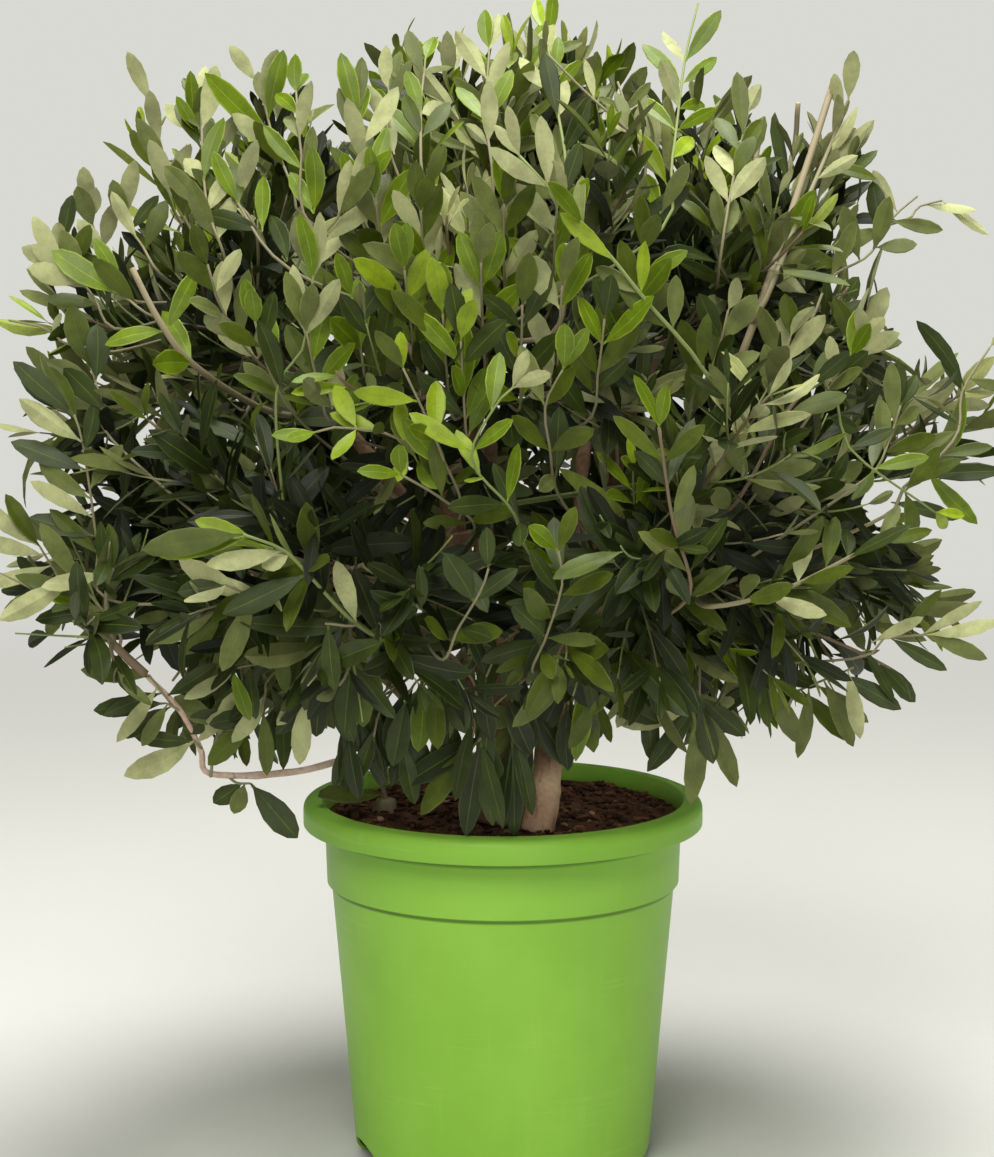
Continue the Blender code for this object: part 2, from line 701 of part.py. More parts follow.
def main():
    for old in list(bpy.data.objects):
        bpy.data.objects.remove(old)
    lime = material("lime_plastic", (0.22, 0.46, 0.05), 0.42)
    earth = material("potting_soil", (0.045, 0.026, 0.018), 0.95)
    bark = material("bark", (0.20, 0.125, 0.085), 0.85)
    leaf = material("olive_leaf", (0.11, 0.17, 0.06), 0.5)

    build_pot(lime)
    build_soil(earth)
    trunk_radii = (TRUNK_RADIUS, TRUNK_TOP_RADIUS, TRUNK_FLARE)
    second_radii = (SECOND_RADIUS, SECOND_TOP_RADIUS, SECOND_FLARE)
    stems = {
        "trunk": build_stem("trunk", TRUNK_ROUTE, trunk_radii, 11, 10, bark),
        "second_stem": build_stem("second_stem", SECOND_ROUTE, second_radii, 8, 9, bark),
    }
    boughs, starts = build_boughs(stems, bark)
    limbs = [*stems.values(), *boughs.values()]
    tips = shoot_tips()
    for seed, (name, (start, way)) in enumerate(starts.items()):
        build_mass(Mass(name, start, way, seed + 20), limbs, tips, leaf)
    build_sucker(leaf)


main()
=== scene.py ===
import math
import random
from itertools import chain, product

import bmesh
import bpy
import numpy as np
from mathutils import Matrix, Vector
from mathutils.geometry import interpolate_bezier
from mathutils.kdtree import KDTree
from mathutils.noise import fractal, noise


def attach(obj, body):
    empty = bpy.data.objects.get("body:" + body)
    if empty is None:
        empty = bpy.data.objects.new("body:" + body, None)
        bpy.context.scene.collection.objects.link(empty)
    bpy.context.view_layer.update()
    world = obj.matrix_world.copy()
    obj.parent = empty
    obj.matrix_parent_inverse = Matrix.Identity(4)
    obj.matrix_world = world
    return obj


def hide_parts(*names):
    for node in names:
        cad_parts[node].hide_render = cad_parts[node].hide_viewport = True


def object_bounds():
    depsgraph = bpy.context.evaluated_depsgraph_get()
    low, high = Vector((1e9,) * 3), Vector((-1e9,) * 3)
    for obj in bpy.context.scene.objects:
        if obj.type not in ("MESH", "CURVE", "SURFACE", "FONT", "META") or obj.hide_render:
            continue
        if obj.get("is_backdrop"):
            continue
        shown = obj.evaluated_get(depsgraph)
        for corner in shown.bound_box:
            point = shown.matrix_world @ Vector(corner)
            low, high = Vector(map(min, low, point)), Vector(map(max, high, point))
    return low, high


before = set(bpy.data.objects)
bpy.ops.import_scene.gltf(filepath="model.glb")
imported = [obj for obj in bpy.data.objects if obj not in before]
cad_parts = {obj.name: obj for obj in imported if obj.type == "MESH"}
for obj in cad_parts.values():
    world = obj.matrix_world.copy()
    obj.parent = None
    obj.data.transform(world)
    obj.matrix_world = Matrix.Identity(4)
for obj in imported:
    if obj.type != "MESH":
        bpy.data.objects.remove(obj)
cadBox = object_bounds()
scene = bpy.context.scene
up = Vector((0, 0, 1))
gap = 0.0003
white, black = (1, 1, 1, 1), (0, 0, 0, 1)


def tone(red, green, blue):
    # a screen colour, 0 to 255, as the shader wants it
    def linear(v):
        v = v / 255
        return v / 12.92 if v < 0.04045 else ((v + 0.055) / 1.055) ** 2.4

    return (linear(red), linear(green), linear(blue), 1)


# lines and tubes


def wayAt(points, i):
    return (points[min(i + 1, len(points) - 1)] - points[max(i - 1, 0)]).normalized()


def onLine(points, share):
    place = share * (len(points) - 1)
    i = min(int(place), len(points) - 2)
    return points[i].lerp(points[i + 1], place - i), wayAt(points, round(place))


def resampled(points, count):
    lengths = [0.0]
    for a, b in zip(points, points[1:]):
        lengths.append(lengths[-1] + (b - a).length)
    found, i = [], 0
    for step in range(count):
        wanted = lengths[-1] * step / (count - 1)
        while i < len(points) - 2 and lengths[i + 1] < wanted:
            i += 1
        share = (wanted - lengths[i]) / max(lengths[i + 1] - lengths[i], 1e-9)
        found.append(points[i].lerp(points[i + 1], min(share, 1)))
    return found


def smoothRoute(route, count):
    points = [Vector(p) for p in route]
    handles = []
    for i in range(len(points)):
        before, after = points[max(i - 1, 0)], points[min(i + 1, len(points) - 1)]
        handles.append((after - before) / (6 if 0 < i < len(points) - 1 else 3))
    fine = []
    for i in range(len(points) - 1):
        a, b = points[i], points[i + 1]
        fine += interpolate_bezier(a, a + handles[i], b - handles[i + 1], b, 12)[:-1]
    return resampled(fine + [points[-1]], count)


def bend(start, startWay, end, endWay, count, pull=0.36):
    reach = (end - start).length * pull
    near = start + startWay.normalized() * reach
    far = end - endWay.normalized() * reach
    return interpolate_bezier(start, near, far, end, count)


def lengthOf(points):
    return sum((b - a).length for a, b in zip(points, points[1:]))


def tapered(count, root, tip, flare=0.0):
    shares = [i / (count - 1) for i in range(count)]
    return [root + (tip - root) * s + flare * math.exp(-s / 0.10) for s in shares]


class Heap:
    # loose tubes and bits, gathered and then made into one mesh

    def __init__(self):
        self.verts, self.faces, self.slots = [], [], []

    def tube(self, points, radii, sides, slot=0, endSlot=None, swell=None):
        across = wayAt(points, 0).orthogonal().normalized()
        first = len(self.verts)
        for i, (point, radius) in enumerate(zip(points, radii)):
            way = wayAt(points, i)
            across = (across - across.dot(way) * way).normalized()
            beside = way.cross(across)
            for k in range(sides):
                a = 2 * math.pi * k / sides
                r = swell(i, a, radius, point) if swell else radius
                self.verts.append(point + r * (math.cos(a) * across + math.sin(a) * beside))
        for i in range(len(points) - 1):
            for k in range(sides):
                a, b = first + i * sides + k, first + i * sides + (k + 1) % sides
                self.faces.append((a, b, b + sides, a + sides))
                self.slots.append(slot)
        self.faces.append(tuple(range(first + sides - 1, first - 1, -1)))
        self.faces.append(tuple(range(len(self.verts) - sides, len(self.verts))))
        self.slots += [slot, slot if endSlot is None else endSlot]

    def piece(self, name, materials, smooth=True):
        mesh = bpy.data.meshes.new(name)
        mesh.from_pydata(self.verts, [], self.faces)
        mesh.polygons.foreach_set("material_index", self.slots)
        return finished(name, mesh, materials, smooth)


def meshOf(name, bm):
    mesh = bpy.data.meshes.new(name)
    bm.to_mesh(mesh)
    bm.free()
    return mesh


def finished(name, mesh, materials, smooth=True, sharp=None):
    for material in materials:
        mesh.materials.append(material)
    if smooth:
        mesh.shade_smooth()
    if sharp:
        mesh.set_sharp_from_angle(angle=math.radians(sharp))
    mesh.update()
    made = bpy.data.objects.new(name, mesh)
    scene.collection.objects.link(made)
    return made


def dress(piece, slot, *nodes):
    # the nodes that a piece stands for, its colour slot, which is not used, and the body that carries it
    if nodes:
        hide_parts(*nodes)
    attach(piece, "root")


# shader groups


def newGroup(name, inputs, outputs):
    # inputs are given by their first values, outputs by their kinds
    group = bpy.data.node_groups.new(name, "ShaderNodeTree")
    kinds = {3: "NodeSocketVector", 4: "NodeSocketColor"}
    for label, value in {"Vector": (0, 0, 0), **inputs}.items():
        kind = kinds[len(value)] if isinstance(value, tuple) else "NodeSocketFloat"
        group.interface.new_socket(label, in_out="INPUT", socket_type=kind).default_value = value
    for label, kind in outputs.items():
        group.interface.new_socket(label, in_out="OUTPUT", socket_type="NodeSocket" + kind)
    return group, group.nodes.new("NodeGroupInput").outputs, group.nodes.new("NodeGroupOutput")


def node(tree, kind, **settings):
    made = tree.nodes.new(kind)
    for key, value in settings.items():
        if key in made.inputs:
            made.inputs[key].default_value = value
        else:
            setattr(made, key, value)
    return made


def fed(tree, made, pairs):
    # each socket takes a link or a plain value
    for socket, value in pairs:
        if isinstance(value, bpy.types.NodeSocket):
            tree.links.new(value, made.inputs[socket])
        else:
            made.inputs[socket].default_value = value


def mixColour(tree, share, a, b):
    mix = node(tree, "ShaderNodeMix", data_type="RGBA")
    fed(tree, mix, (("Factor", share), (6, a), (7, b)))
    return mix.outputs[2]


def maths(tree, operation, a, b=0.5, clamp=False):
    made = node(tree, "ShaderNodeMath", operation=operation, use_clamp=clamp)
    fed(tree, made, ((0, a), (1, b)))
    return made.outputs[0]


def ranged(tree, value, low, high):
    # 0 up to low, 1 from high on
    made = node(tree, "ShaderNodeMapRange", interpolation_type="SMOOTHSTEP")
    fed(tree, made, (("Value", value), ("From Min", low), ("From Max", high)))
    return made.outputs["Result"]


def noiseAt(tree, where, scale, detail, roughness=0.5):
    texture = node(tree, "ShaderNodeTexNoise", Detail=detail, Roughness=roughness)
    fed(tree, texture, (("Vector", where), ("Scale", scale)))
    return texture.outputs["Fac"]


def mottleGroup():
    # broad and fine patches of two colours, with a grain for roughness and relief
    inputs = {"Light": white, "Dark": black, "Patch Scale": 20.0, "Grain Scale": 400.0, "Grain Share": 0.3}
    group, given, result = newGroup("mottle", inputs, {"Color": "Color", "Grain": "Float", "Patch": "Float"})
    broad = ranged(group, noiseAt(group, given["Vector"], given["Patch Scale"], 4.0, 0.6), 0.34, 0.68)
    grain = noiseAt(group, given["Vector"], given["Grain Scale"], 3.0, 0.65)
    both = node(group, "ShaderNodeMix", data_type="FLOAT")
    fed(group, both, (("Factor", given["Grain Share"]), (2, broad), (3, ranged(group, grain, 0.3, 0.7))))
    colour = mixColour(group, both.outputs[0], given["Dark"], given["Light"])
    fed(group, result, (("Color", colour), ("Grain", grain), ("Patch", broad)))
    return group


def streakGroup():
    # thin marks drawn out along one way: scuffs, mould lines and bark fissures
    inputs = {"Stretch": (1, 1, 1), "Scale": 10.0, "Amount": 0.5}
    group, given, result = newGroup("streaks", inputs, {"Mask": "Float"})
    stretched = node(group, "ShaderNodeVectorMath", operation="MULTIPLY")
    fed(group, stretched, ((0, given["Vector"]), (1, given["Stretch"])))
    thin = ranged(group, noiseAt(group, stretched.outputs[0], given["Scale"], 5.0, 0.55), 0.56, 0.66)
    where = ranged(group, noiseAt(group, given["Vector"], 14.0, 2.0), 0.42, 0.62)
    marks = maths(group, "MULTIPLY", maths(group, "MULTIPLY", thin, where), given["Amount"])
    fed(group, result, (("Mask", marks),))
    return group


def shadeBandGroup():
    # a soft band round the part at one height, the mask for the pot's painted shade
    inputs = {"Height": 0.1, "Half Width": 0.002}
    group, given, result = newGroup("shadeBand", inputs, {"Mask": "Float"})
    parts = node(group, "ShaderNodeSeparateXYZ")
    fed(group, parts, ((0, given["Vector"]),))
    away = maths(group, "ABSOLUTE", maths(group, "SUBTRACT", parts.outputs["Z"], given["Height"]))
    share = maths(group, "DIVIDE", away, given["Half Width"])
    mask = ranged(group, maths(group, "SUBTRACT", 1.0, share, clamp=True), 0.0, 0.8)
    fed(group, result, (("Mask", mask),))
    return group


def newMaterial(name, roughness, **plain):
    made = bpy.data.materials.new(name)
    made.use_nodes = True
    shader = made.node_tree.nodes["Principled BSDF"]
    shader.inputs["Roughness"].default_value = roughness
    for label, value in plain.items():
        shader.inputs[label.replace("_", " ")].default_value = value
    return made, made.node_tree, shader


def placed(tree, group, **values):
    # a copy of a shader group, read in the plant's own coordinates
    made = node(tree, "ShaderNodeGroup", node_tree=group)
    where = node(tree, "ShaderNodeTexCoord")
    tree.links.new(where.outputs["Object"], made.inputs["Vector"])
    for label, value in values.items():
        made.inputs[label.replace("_", " ")].default_value = value
    return made


def patched(tree, light, dark, patchScale, grainScale, grainShare):
    values = {"Patch_Scale": patchScale, "Grain_Scale": grainScale, "Grain_Share": grainShare}
    return placed(tree, mottle, Light=light, Dark=dark, **values)


def bumped(tree, shader, height, strength, distance):
    bump = node(tree, "ShaderNodeBump", Strength=strength, Distance=distance)
    tree.links.new(height, bump.inputs["Height"])
    tree.links.new(bump.outputs["Normal"], shader.inputs["Normal"])


mottle, streaks, shadeBand = mottleGroup(), streakGroup(), shadeBandGroup()


# pot

pot = {
    "height": 0.278,
    "wall": 0.0022,
    "bodyTop": (0.1296, 0.2138),
    "bandFoot": (0.1330, 0.2146),
    "bandTop": (0.1345, 0.2588),
    "innerStep": (0.2155, 0.2175),
    "baseRadius": 0.1114,
    "baseRound": 0.012,
    "lipInner": 0.1368,
    "lipEdge": 0.1507,
    "lipRound": 0.0065,
    "lipDip": 0.0015,  # the lip's top falls this far outward
    "segments": 192,
    "drains": 4,
    "drainTurn": 198,
    "drainSize": (0.041, 0.068, 0.030),
    "light": tone(147, 202, 73),
    "dark": tone(138, 193, 65),
    "worn": tone(166, 212, 98),
    # colour of the painted shade in the bands under the lip and at the band's foot
    "shadeBand": tone(84, 126, 34),
    # painted shade under the lip, at the band's foot and broadly below the lip: height, half width and
    # strength of each
    "shadeBands": ((0.2552, 0.0034, 0.85), (0.2122, 0.0022, 0.85), (0.2490, 0.0240, 0.20)),
    "roughness": 0.44,
}


def potWall(height):
    # the inner radius
    if height <= pot["bodyTop"][1]:
        share = height / pot["bodyTop"][1]
        return pot["baseRadius"] + share * (pot["bodyTop"][0] - pot["baseRadius"]) - pot["wall"]
    share = (height - pot["bandFoot"][1]) / (pot["bandTop"][1] - pot["bandFoot"][1])
    rise = pot["bandTop"][0] - pot["bandFoot"][0]
    return pot["bandFoot"][0] + max(share, 0) * rise - pot["wall"]


def rounded(corners, steps=6):
    # (radius, height, cut) corners, each turned into a curve that begins and ends cut away from it
    made = [corners[0][:2]]
    for before, corner, after in zip(corners, corners[1:], corners[2:]):
        a, b, c = (Vector(p[:2]) for p in (before, corner, after))
        cut = min(corner[2], 0.48 * (a - b).length, 0.48 * (c - b).length)
        start, end = b + (a - b).normalized() * cut, b + (c - b).normalized() * cut
        for k in range(steps + 1):
            s = k / steps
            made.append(tuple((1 - s) ** 2 * start + 2 * s * (1 - s) * b + s**2 * end))
    return made + [corners[-1][:2]]


def potProfile():
    # up the inside, over the lip and down the outside
    bodyTop, bandFoot, bandTop = pot["bodyTop"], pot["bandFoot"], pot["bandTop"]
    stepFoot, stepTop = pot["innerStep"]
    height, inner, edge = pot["height"], pot["lipInner"], pot["lipEdge"]
    return rounded(
        [
            (0, 0.003, 0),
            (potWall(0) - 0.003, 0.003, 0.003),
            (potWall(0.009), 0.009, 0.004),
            (potWall(bodyTop[1]), stepFoot, 0.001),
            (potWall(bandFoot[1]), stepTop, 0.001),
            (potWall(0.266), 0.266, 0.004),
            (inner - 0.0020, height - 0.0040, 0.002),
            (inner, height, 0.0012),
            (edge, height - pot["lipDip"], pot["lipRound"]),
            (edge, bandTop[1], 0.0010),
            (*bandTop, 0.0007),
            (*bandFoot, 0.0004),
            (*bodyTop, 0.0004),
            (pot["baseRadius"], 0, pot["baseRound"]),
            (0, 0, 0),
        ]
    )


def ring(radius, heightAt, count, shift=0):
    angles = [2 * math.pi * (k + shift) / count for k in range(count)]
    flat = [(radius * math.cos(a), radius * math.sin(a)) for a in angles]
    return [(x, y, heightAt(x, y)) for x, y in flat]


def skinned(name, rings):
    # a closed skin over rings of points, the first and the last of them a single point
    bm = bmesh.new()
    made = [[bm.verts.new(point) for point in row] for row in rings]
    for low, high in zip(made, made[1:]):
        count = max(len(low), len(high))
        for k in range(count):
            m = (k + 1) % count
            if len(low) == 1:
                bm.faces.new((low[0], high[k], high[m]))
            elif len(high) == 1:
                bm.faces.new((low[k], high[0], low[m]))
            else:
                bm.faces.new((low[k], high[k], high[m], low[m]))
    bmesh.ops.recalc_face_normals(bm, faces=bm.faces)
    return meshOf(name, bm)


def makePot():
    rings = [ring(r, lambda x, y: z, pot["segments"]) if r > 1e-6 else [(0, 0, z)] for r, z in potProfile()]
    mesh = skinned("pot_shell", rings)
    cuts = bmesh.new()
    place = Matrix.Translation((pot["baseRadius"], 0, 0)) @ Matrix.Rotation(math.pi / 2, 4, "Y")
    for drain in range(pot["drains"]):
        turn = Matrix.Rotation(math.radians(pot["drainTurn"] + drain * 360 / pot["drains"]), 4, "Z")
        where = turn @ place @ Matrix.Diagonal((*pot["drainSize"], 1))
        sizes = {"radius1": 0.5, "radius2": 0.5, "depth": 1}
        bmesh.ops.create_cone(cuts, cap_ends=True, segments=48, matrix=where, **sizes)
    cutter = bpy.data.objects.new("drain_cuts", meshOf("drain_cuts", cuts))
    scene.collection.objects.link(cutter)

    made, tree, shader = newMaterial("limePlastic", pot["roughness"], Specular_IOR_Level=0.3)
    tint = patched(tree, pot["light"], pot["dark"], 9.0, 900.0, 0.12)
    scuffs = placed(tree, streaks, Stretch=(1, 1, 26), Scale=9.0, Amount=0.3)
    drawn = placed(tree, streaks, Stretch=(16, 16, 1), Scale=5.0, Amount=0.15)
    both = maths(tree, "ADD", scuffs.outputs["Mask"], drawn.outputs["Mask"], clamp=True)
    colour = mixColour(tree, both, tint.outputs["Color"], pot["worn"])
    # painted shade: darker bands under the lip, at the band's foot and broadly below the lip
    for height, width, strength in pot["shadeBands"]:
        mask = placed(tree, shadeBand, Height=height, Half_Width=width).outputs["Mask"]
        colour = mixColour(tree, maths(tree, "MULTIPLY", mask, strength), colour, pot["shadeBand"])
    tree.links.new(colour, shader.inputs["Base Color"])
    rough = maths(tree, "ADD", maths(tree, "MULTIPLY", tint.outputs["Grain"], 0.16), pot["roughness"] - 0.08)
    rough = maths(tree, "ADD", rough, maths(tree, "MULTIPLY", both, 0.2))
    tree.links.new(rough, shader.inputs["Roughness"])
    grain = maths(tree, "MULTIPLY", tint.outputs["Grain"], 0.3)
    height = maths(tree, "SUBTRACT", grain, maths(tree, "MULTIPLY", both, 0.7))
    bumped(tree, shader, height, 0.2, 0.0003)

    shell = finished("pot_shell", mesh, [made])
    cut = shell.modifiers.new("drain", "BOOLEAN")
    cut.object, cut.solver = cutter, "EXACT"
    bpy.context.view_layer.update()
    graph = bpy.context.evaluated_depsgraph_get()
    shell.data = bpy.data.meshes.new_from_object(shell.evaluated_get(graph))
    shell.modifiers.clear()
    bpy.data.objects.remove(cutter)
    shell.data.shade_smooth()
    shell.data.set_sharp_from_angle(angle=math.radians(35))
    dress(shell, "pot", "pot")
    print("pot:", len(shell.data.polygons), "faces")


# soil

soil = {
    "top": 0.2660,
    "flatRadius": 0.098,
    "edgeDrop": 0.001,
    "clear": 0.026,  # height that clears the drains
    "foot": 0.0033,
    "rings": 60,
    "segments": 220,
    "roll": 0.0024,
    "crumbs": 1700,
    "crumbSize": (0.0014, 0.0082),
    "dark": tone(58, 40, 28),
    "light": tone(100, 69, 47),
    # name, colour and share of each kind
    "bits": (
        ("crumbDark", tone(58, 40, 28), 0.34),
        ("crumbBrown", tone(100, 69, 47), 0.33),
        ("barkChip", tone(124, 82, 56), 0.12),
        ("barkChipDark", tone(78, 52, 36), 0.19),
        ("paleGrit", tone(160, 128, 98), 0.02),
    ),
}


def soilHeight(x, y):
    r = math.hypot(x, y)
    edge = potWall(soil["top"])
    drop = soil["edgeDrop"] * max(0, (r - soil["flatRadius"]) / (edge - soil["flatRadius"]))
    p = Vector((x, y, 0.7))
    lumps = soil["roll"] * fractal(p * 42, 0.9, 2.1, 5) + 0.0012 * noise(p * 14)
    return soil["top"] - drop + lumps * min(1, 12 * (edge - r) / edge + 0.15)


def makeSoil():
    rng = random.Random(31)
    edge = potWall(soil["top"]) - gap
    rings = [[(0, 0, soilHeight(0, 0))]]
    for i in range(1, soil["rings"] + 1):
        radius = edge * (i / soil["rings"]) ** 0.75
        rings.append(ring(radius, soilHeight, soil["segments"], 0.5 * (i % 2)))
    # down the pot's wall, in under its step, and over its floor
    stepFoot, stepTop = pot["innerStep"]
    skin = (
        (potWall(soil["top"]) - 2 * gap, soil["top"] - 0.012),
        (potWall(pot["bandFoot"][1]) - 2 * gap, stepTop + 2 * gap),
        (potWall(pot["bodyTop"][1]) - 2 * gap, stepFoot + 2 * gap),
        (potWall(soil["clear"]) - 2 * gap, soil["clear"]),
        (0.090, soil["foot"]),
    )
    rings += [ring(radius, lambda x, y: z, soil["segments"]) for radius, z in skin]
    mesh = skinned("soil_bed", rings + [[(0, 0, soil["foot"])]])
    made, tree, shader = newMaterial("pottingMix", 0.95, Specular_IOR_Level=0.2)
    tint = patched(tree, soil["light"], soil["dark"], 60.0, 520.0, 0.55)
    tree.links.new(tint.outputs["Color"], shader.inputs["Base Color"])
    bumped(tree, shader, tint.outputs["Grain"], 0.9, 0.0016)
    bed = finished("soil_bed", mesh, [made])
    dress(bed, "soil", "soil")

    # crumbs, bark chips and a few pale bits lying on it
    kinds = [newMaterial(n, 0.92, Base_Color=c, Specular_IOR_Level=0.2)[0] for n, c, _ in soil["bits"]]
    heap = Heap()
    for _ in range(soil["crumbs"]):
        r = (edge - 0.004) * math.sqrt(rng.random())
        a = rng.uniform(0, 2 * math.pi)
        x, y = r * math.cos(a), r * math.sin(a)
        low, high = soil["crumbSize"]
        size = low + (high - low) * rng.random() ** 2.4
        slot = rng.choices(range(len(kinds)), [share for _, _, share in soil["bits"]])[0]
        flat = 0.3 if slot in (2, 3) else 0.6
        turn = Matrix.Rotation(rng.uniform(0, 6.3), 3, "Z") @ Matrix.Rotation(rng.uniform(-0.6, 0.6), 3, "X")
        sides = (size * rng.uniform(0.9, 2.0), size * rng.uniform(0.6, 1.0), size * flat)
        shape = turn @ Matrix.Diagonal(sides)
        first = len(heap.verts)
        base = Vector((x, y, soilHeight(x, y) + 0.25 * size))
        for corner in crumbForm:
            heap.verts.append(base + shape @ (corner * rng.uniform(0.6, 1.2)))
        for face in crumbFaces:
            heap.faces.append(tuple(first + i for i in face))
            heap.slots.append(slot)
    crumbs = heap.piece("soil_crumbs", kinds, smooth=False)
    dress(crumbs, "soil")
    print("soil:", soil["crumbs"], "crumbs")


def ballForm():
    bm = bmesh.new()
    bmesh.ops.create_icosphere(bm, subdivisions=1, radius=0.5)
    bm.verts.index_update()
    form = [v.co.copy() for v in bm.verts], [tuple(v.index for v in f.verts) for f in bm.faces]
    bm.free()
    return form


crumbForm, crumbFaces = ballForm()


# stems and boughs

stems = {
    "trunk": (
        (-0.008, -0.030, 0.2663),
        (0.000, -0.029, 0.300),
        (0.003, -0.026, 0.345),
        (-0.012, -0.020, 0.398),
        (-0.030, -0.014, 0.445),
        (-0.036, -0.010, 0.480),
    ),
    "second_stem": (
        (0.025, -0.068, 0.2663),
        (0.0305, -0.065, 0.295),
        (0.036, -0.058, 0.335),
        (0.047, -0.046, 0.385),
        (0.066, -0.033, 0.436),
    ),
    # at the foot, at the top, and how much the foot flares
    "radii": {"trunk": (0.0160, 0.0112, 0.0055), "second_stem": (0.0104, 0.0078, 0.0022)},
    "knuckle": 0.2965,  # height of the swelling on the second stem
    "sides": 30,
    "fissure": 0.0007,
    # the slim stem's bark, made paler as painted light on its lit foot
    "light": tone(240, 209, 178),
    "dark": tone(186, 150, 120),
    "warm": tone(226, 174, 138),
    # the boughs' bark, also darker as painted shade; the trunk takes it all over, and the slim stem above its
    # foot
    "boughLight": tone(128, 102, 76),
    "boughDark": tone(84, 64, 47),
    "shadedBetween": (0.306, 0.336),  # heights between which the slim stem's bark darkens to the boughs', painted shade under the crown
}

# by the mass that each one leads to: where it springs from, how far along that, and its radius
boughs = {
    "top": ("trunk", 1.00, 0.0086),
    "upper_left": ("trunk", 0.78, 0.0074),
    "upper_back_left": ("trunk", 0.69, 0.0072),
    "upper_front": ("trunk", 0.60, 0.0070),
    "low_back_right": ("trunk", 0.52, 0.0064),
    "low_front_left": ("trunk", 0.45, 0.0062),
    "low_back_left": ("trunk", 0.37, 0.0064),
    "low_left": ("trunk", 0.28, 0.0060),
    "upper_right": ("second_stem", 1.00, 0.0068),
    "upper_back_right": ("second_stem", 0.76, 0.0060),
    "low_right": ("second_stem", 0.62, 0.0058),
    "low_front_right": ("second_stem", 0.48, 0.0054),
}

sweep = {
    "share": 0.22,
    "out": (
        (-0.122, -0.090, 0.326),
        (-0.148, -0.102, 0.318),
        (-0.182, -0.112, 0.315),
        (-0.210, -0.120, 0.320),
    ),
    "up": ((-0.217, -0.123, 0.338), (-0.231, -0.128, 0.368), (-0.256, -0.134, 0.396)),
    "radii": (0.0033, 0.0022, 0.0017),
    "light": tone(226, 204, 188),
    "dark": tone(178, 148, 130),
    "centre": Vector((-0.300, -0.158, 0.430)),
    "ball": 0.078,
}

crown = {
    "centre": Vector((-0.004, 0.000, 0.480)),
    "halfWidth": 0.374,
    "halfDepth": 0.355,
    "rise": 0.384,
    "drop": 0.200,
    "frontDrop": 0.115,
    "fullness": 2.6,
    "massStart": 0.42,
    "stemReach": 0.70,
    "stemRadii": (0.0036, 0.0016),  # of a mass's own stem, at its foot and tip
    "boughLift": 0.35,
    "outer": (98, (0.78, 0.94)),
    "inner": (40, (0.56, 0.68)),
    # between the others, on the sides, top and back only
    "between": (72, (0.76, 0.91)),
    "betweenFrom": -0.30,
    "underside": -0.60,
    "outermost": 1.03,
    "placedOutermost": 1.5,
    "limbClearance": 0.004,
}

# the middle of each mass as an azimuth and an elevation, in degrees
masses = {
    "top": (90, 90),
    "upper_front": (268, 36),
    "upper_right": (338, 46),
    "upper_back_right": (52, 36),
    "upper_back_left": (124, 46),
    "upper_left": (194, 38),
    "low_front_left": (236, -4),
    "low_front_right": (302, -4),
    "low_right": (0, -2),
    "low_back_right": (62, -16),
    "low_back_left": (118, 0),
    "low_left": (178, -12),
}

placedShoots = (
    ("low_front_left", (-0.022, -0.150, 0.352), (-0.35, -0.25, -0.9)),
    ("low_front_left", (-0.002, -0.152, 0.362), (0.10, -0.30, -0.9)),
    ("low_front_left", (-0.156, -0.285, 0.505), (-0.95, 0.05, 0.25)),
    ("low_front_right", (0.064, -0.196, 0.390), (0.05, -0.30, -0.9)),
    ("low_front_right", (0.118, -0.168, 0.360), (0.60, -0.20, -0.7)),
    ("low_left", (-0.196, -0.020, 0.340), (-0.20, -0.10, -0.9)),
    ("low_left", (-0.335, -0.020, 0.560), (-0.90, 0.00, 0.4)),
    ("upper_left", (-0.262, -0.020, 0.770), (-0.30, 0.00, 1.0)),
    ("upper_right", (0.318, -0.040, 0.705), (0.90, 0.00, 0.5)),
    ("upper_right", (0.240, -0.030, 0.778), (0.20, 0.00, 1.0)),
    ("top", (0.120, -0.010, 0.795), (0.30, 0.00, 1.0)),
)


def fromAngles(azimuth, elevation):
    a, e = math.radians(azimuth), math.radians(elevation)
    return Vector((math.cos(a) * math.cos(e), math.sin(a) * math.cos(e), math.sin(e)))


def squaredUp(offset):
    across, deep = offset.x / crown["halfWidth"], offset.y / crown["halfDepth"]
    front = max(0, -deep) / max(math.hypot(across, deep), 1e-9)
    tall = crown["rise"] if offset.z > 0 else crown["drop"] + front * (crown["frontDrop"] - crown["drop"])
    return Vector((across, deep, offset.z / tall))


def crownShare(point):
    unit = squaredUp(point - crown["centre"])
    n = crown["fullness"]
    return (math.hypot(unit.x, unit.y) ** n + abs(unit.z) ** n) ** (1 / n)


def crownPoint(direction, share):
    step = crown["centre"] + 0.1 * direction
    return crown["centre"] + 0.1 * direction * (share / crownShare(step))


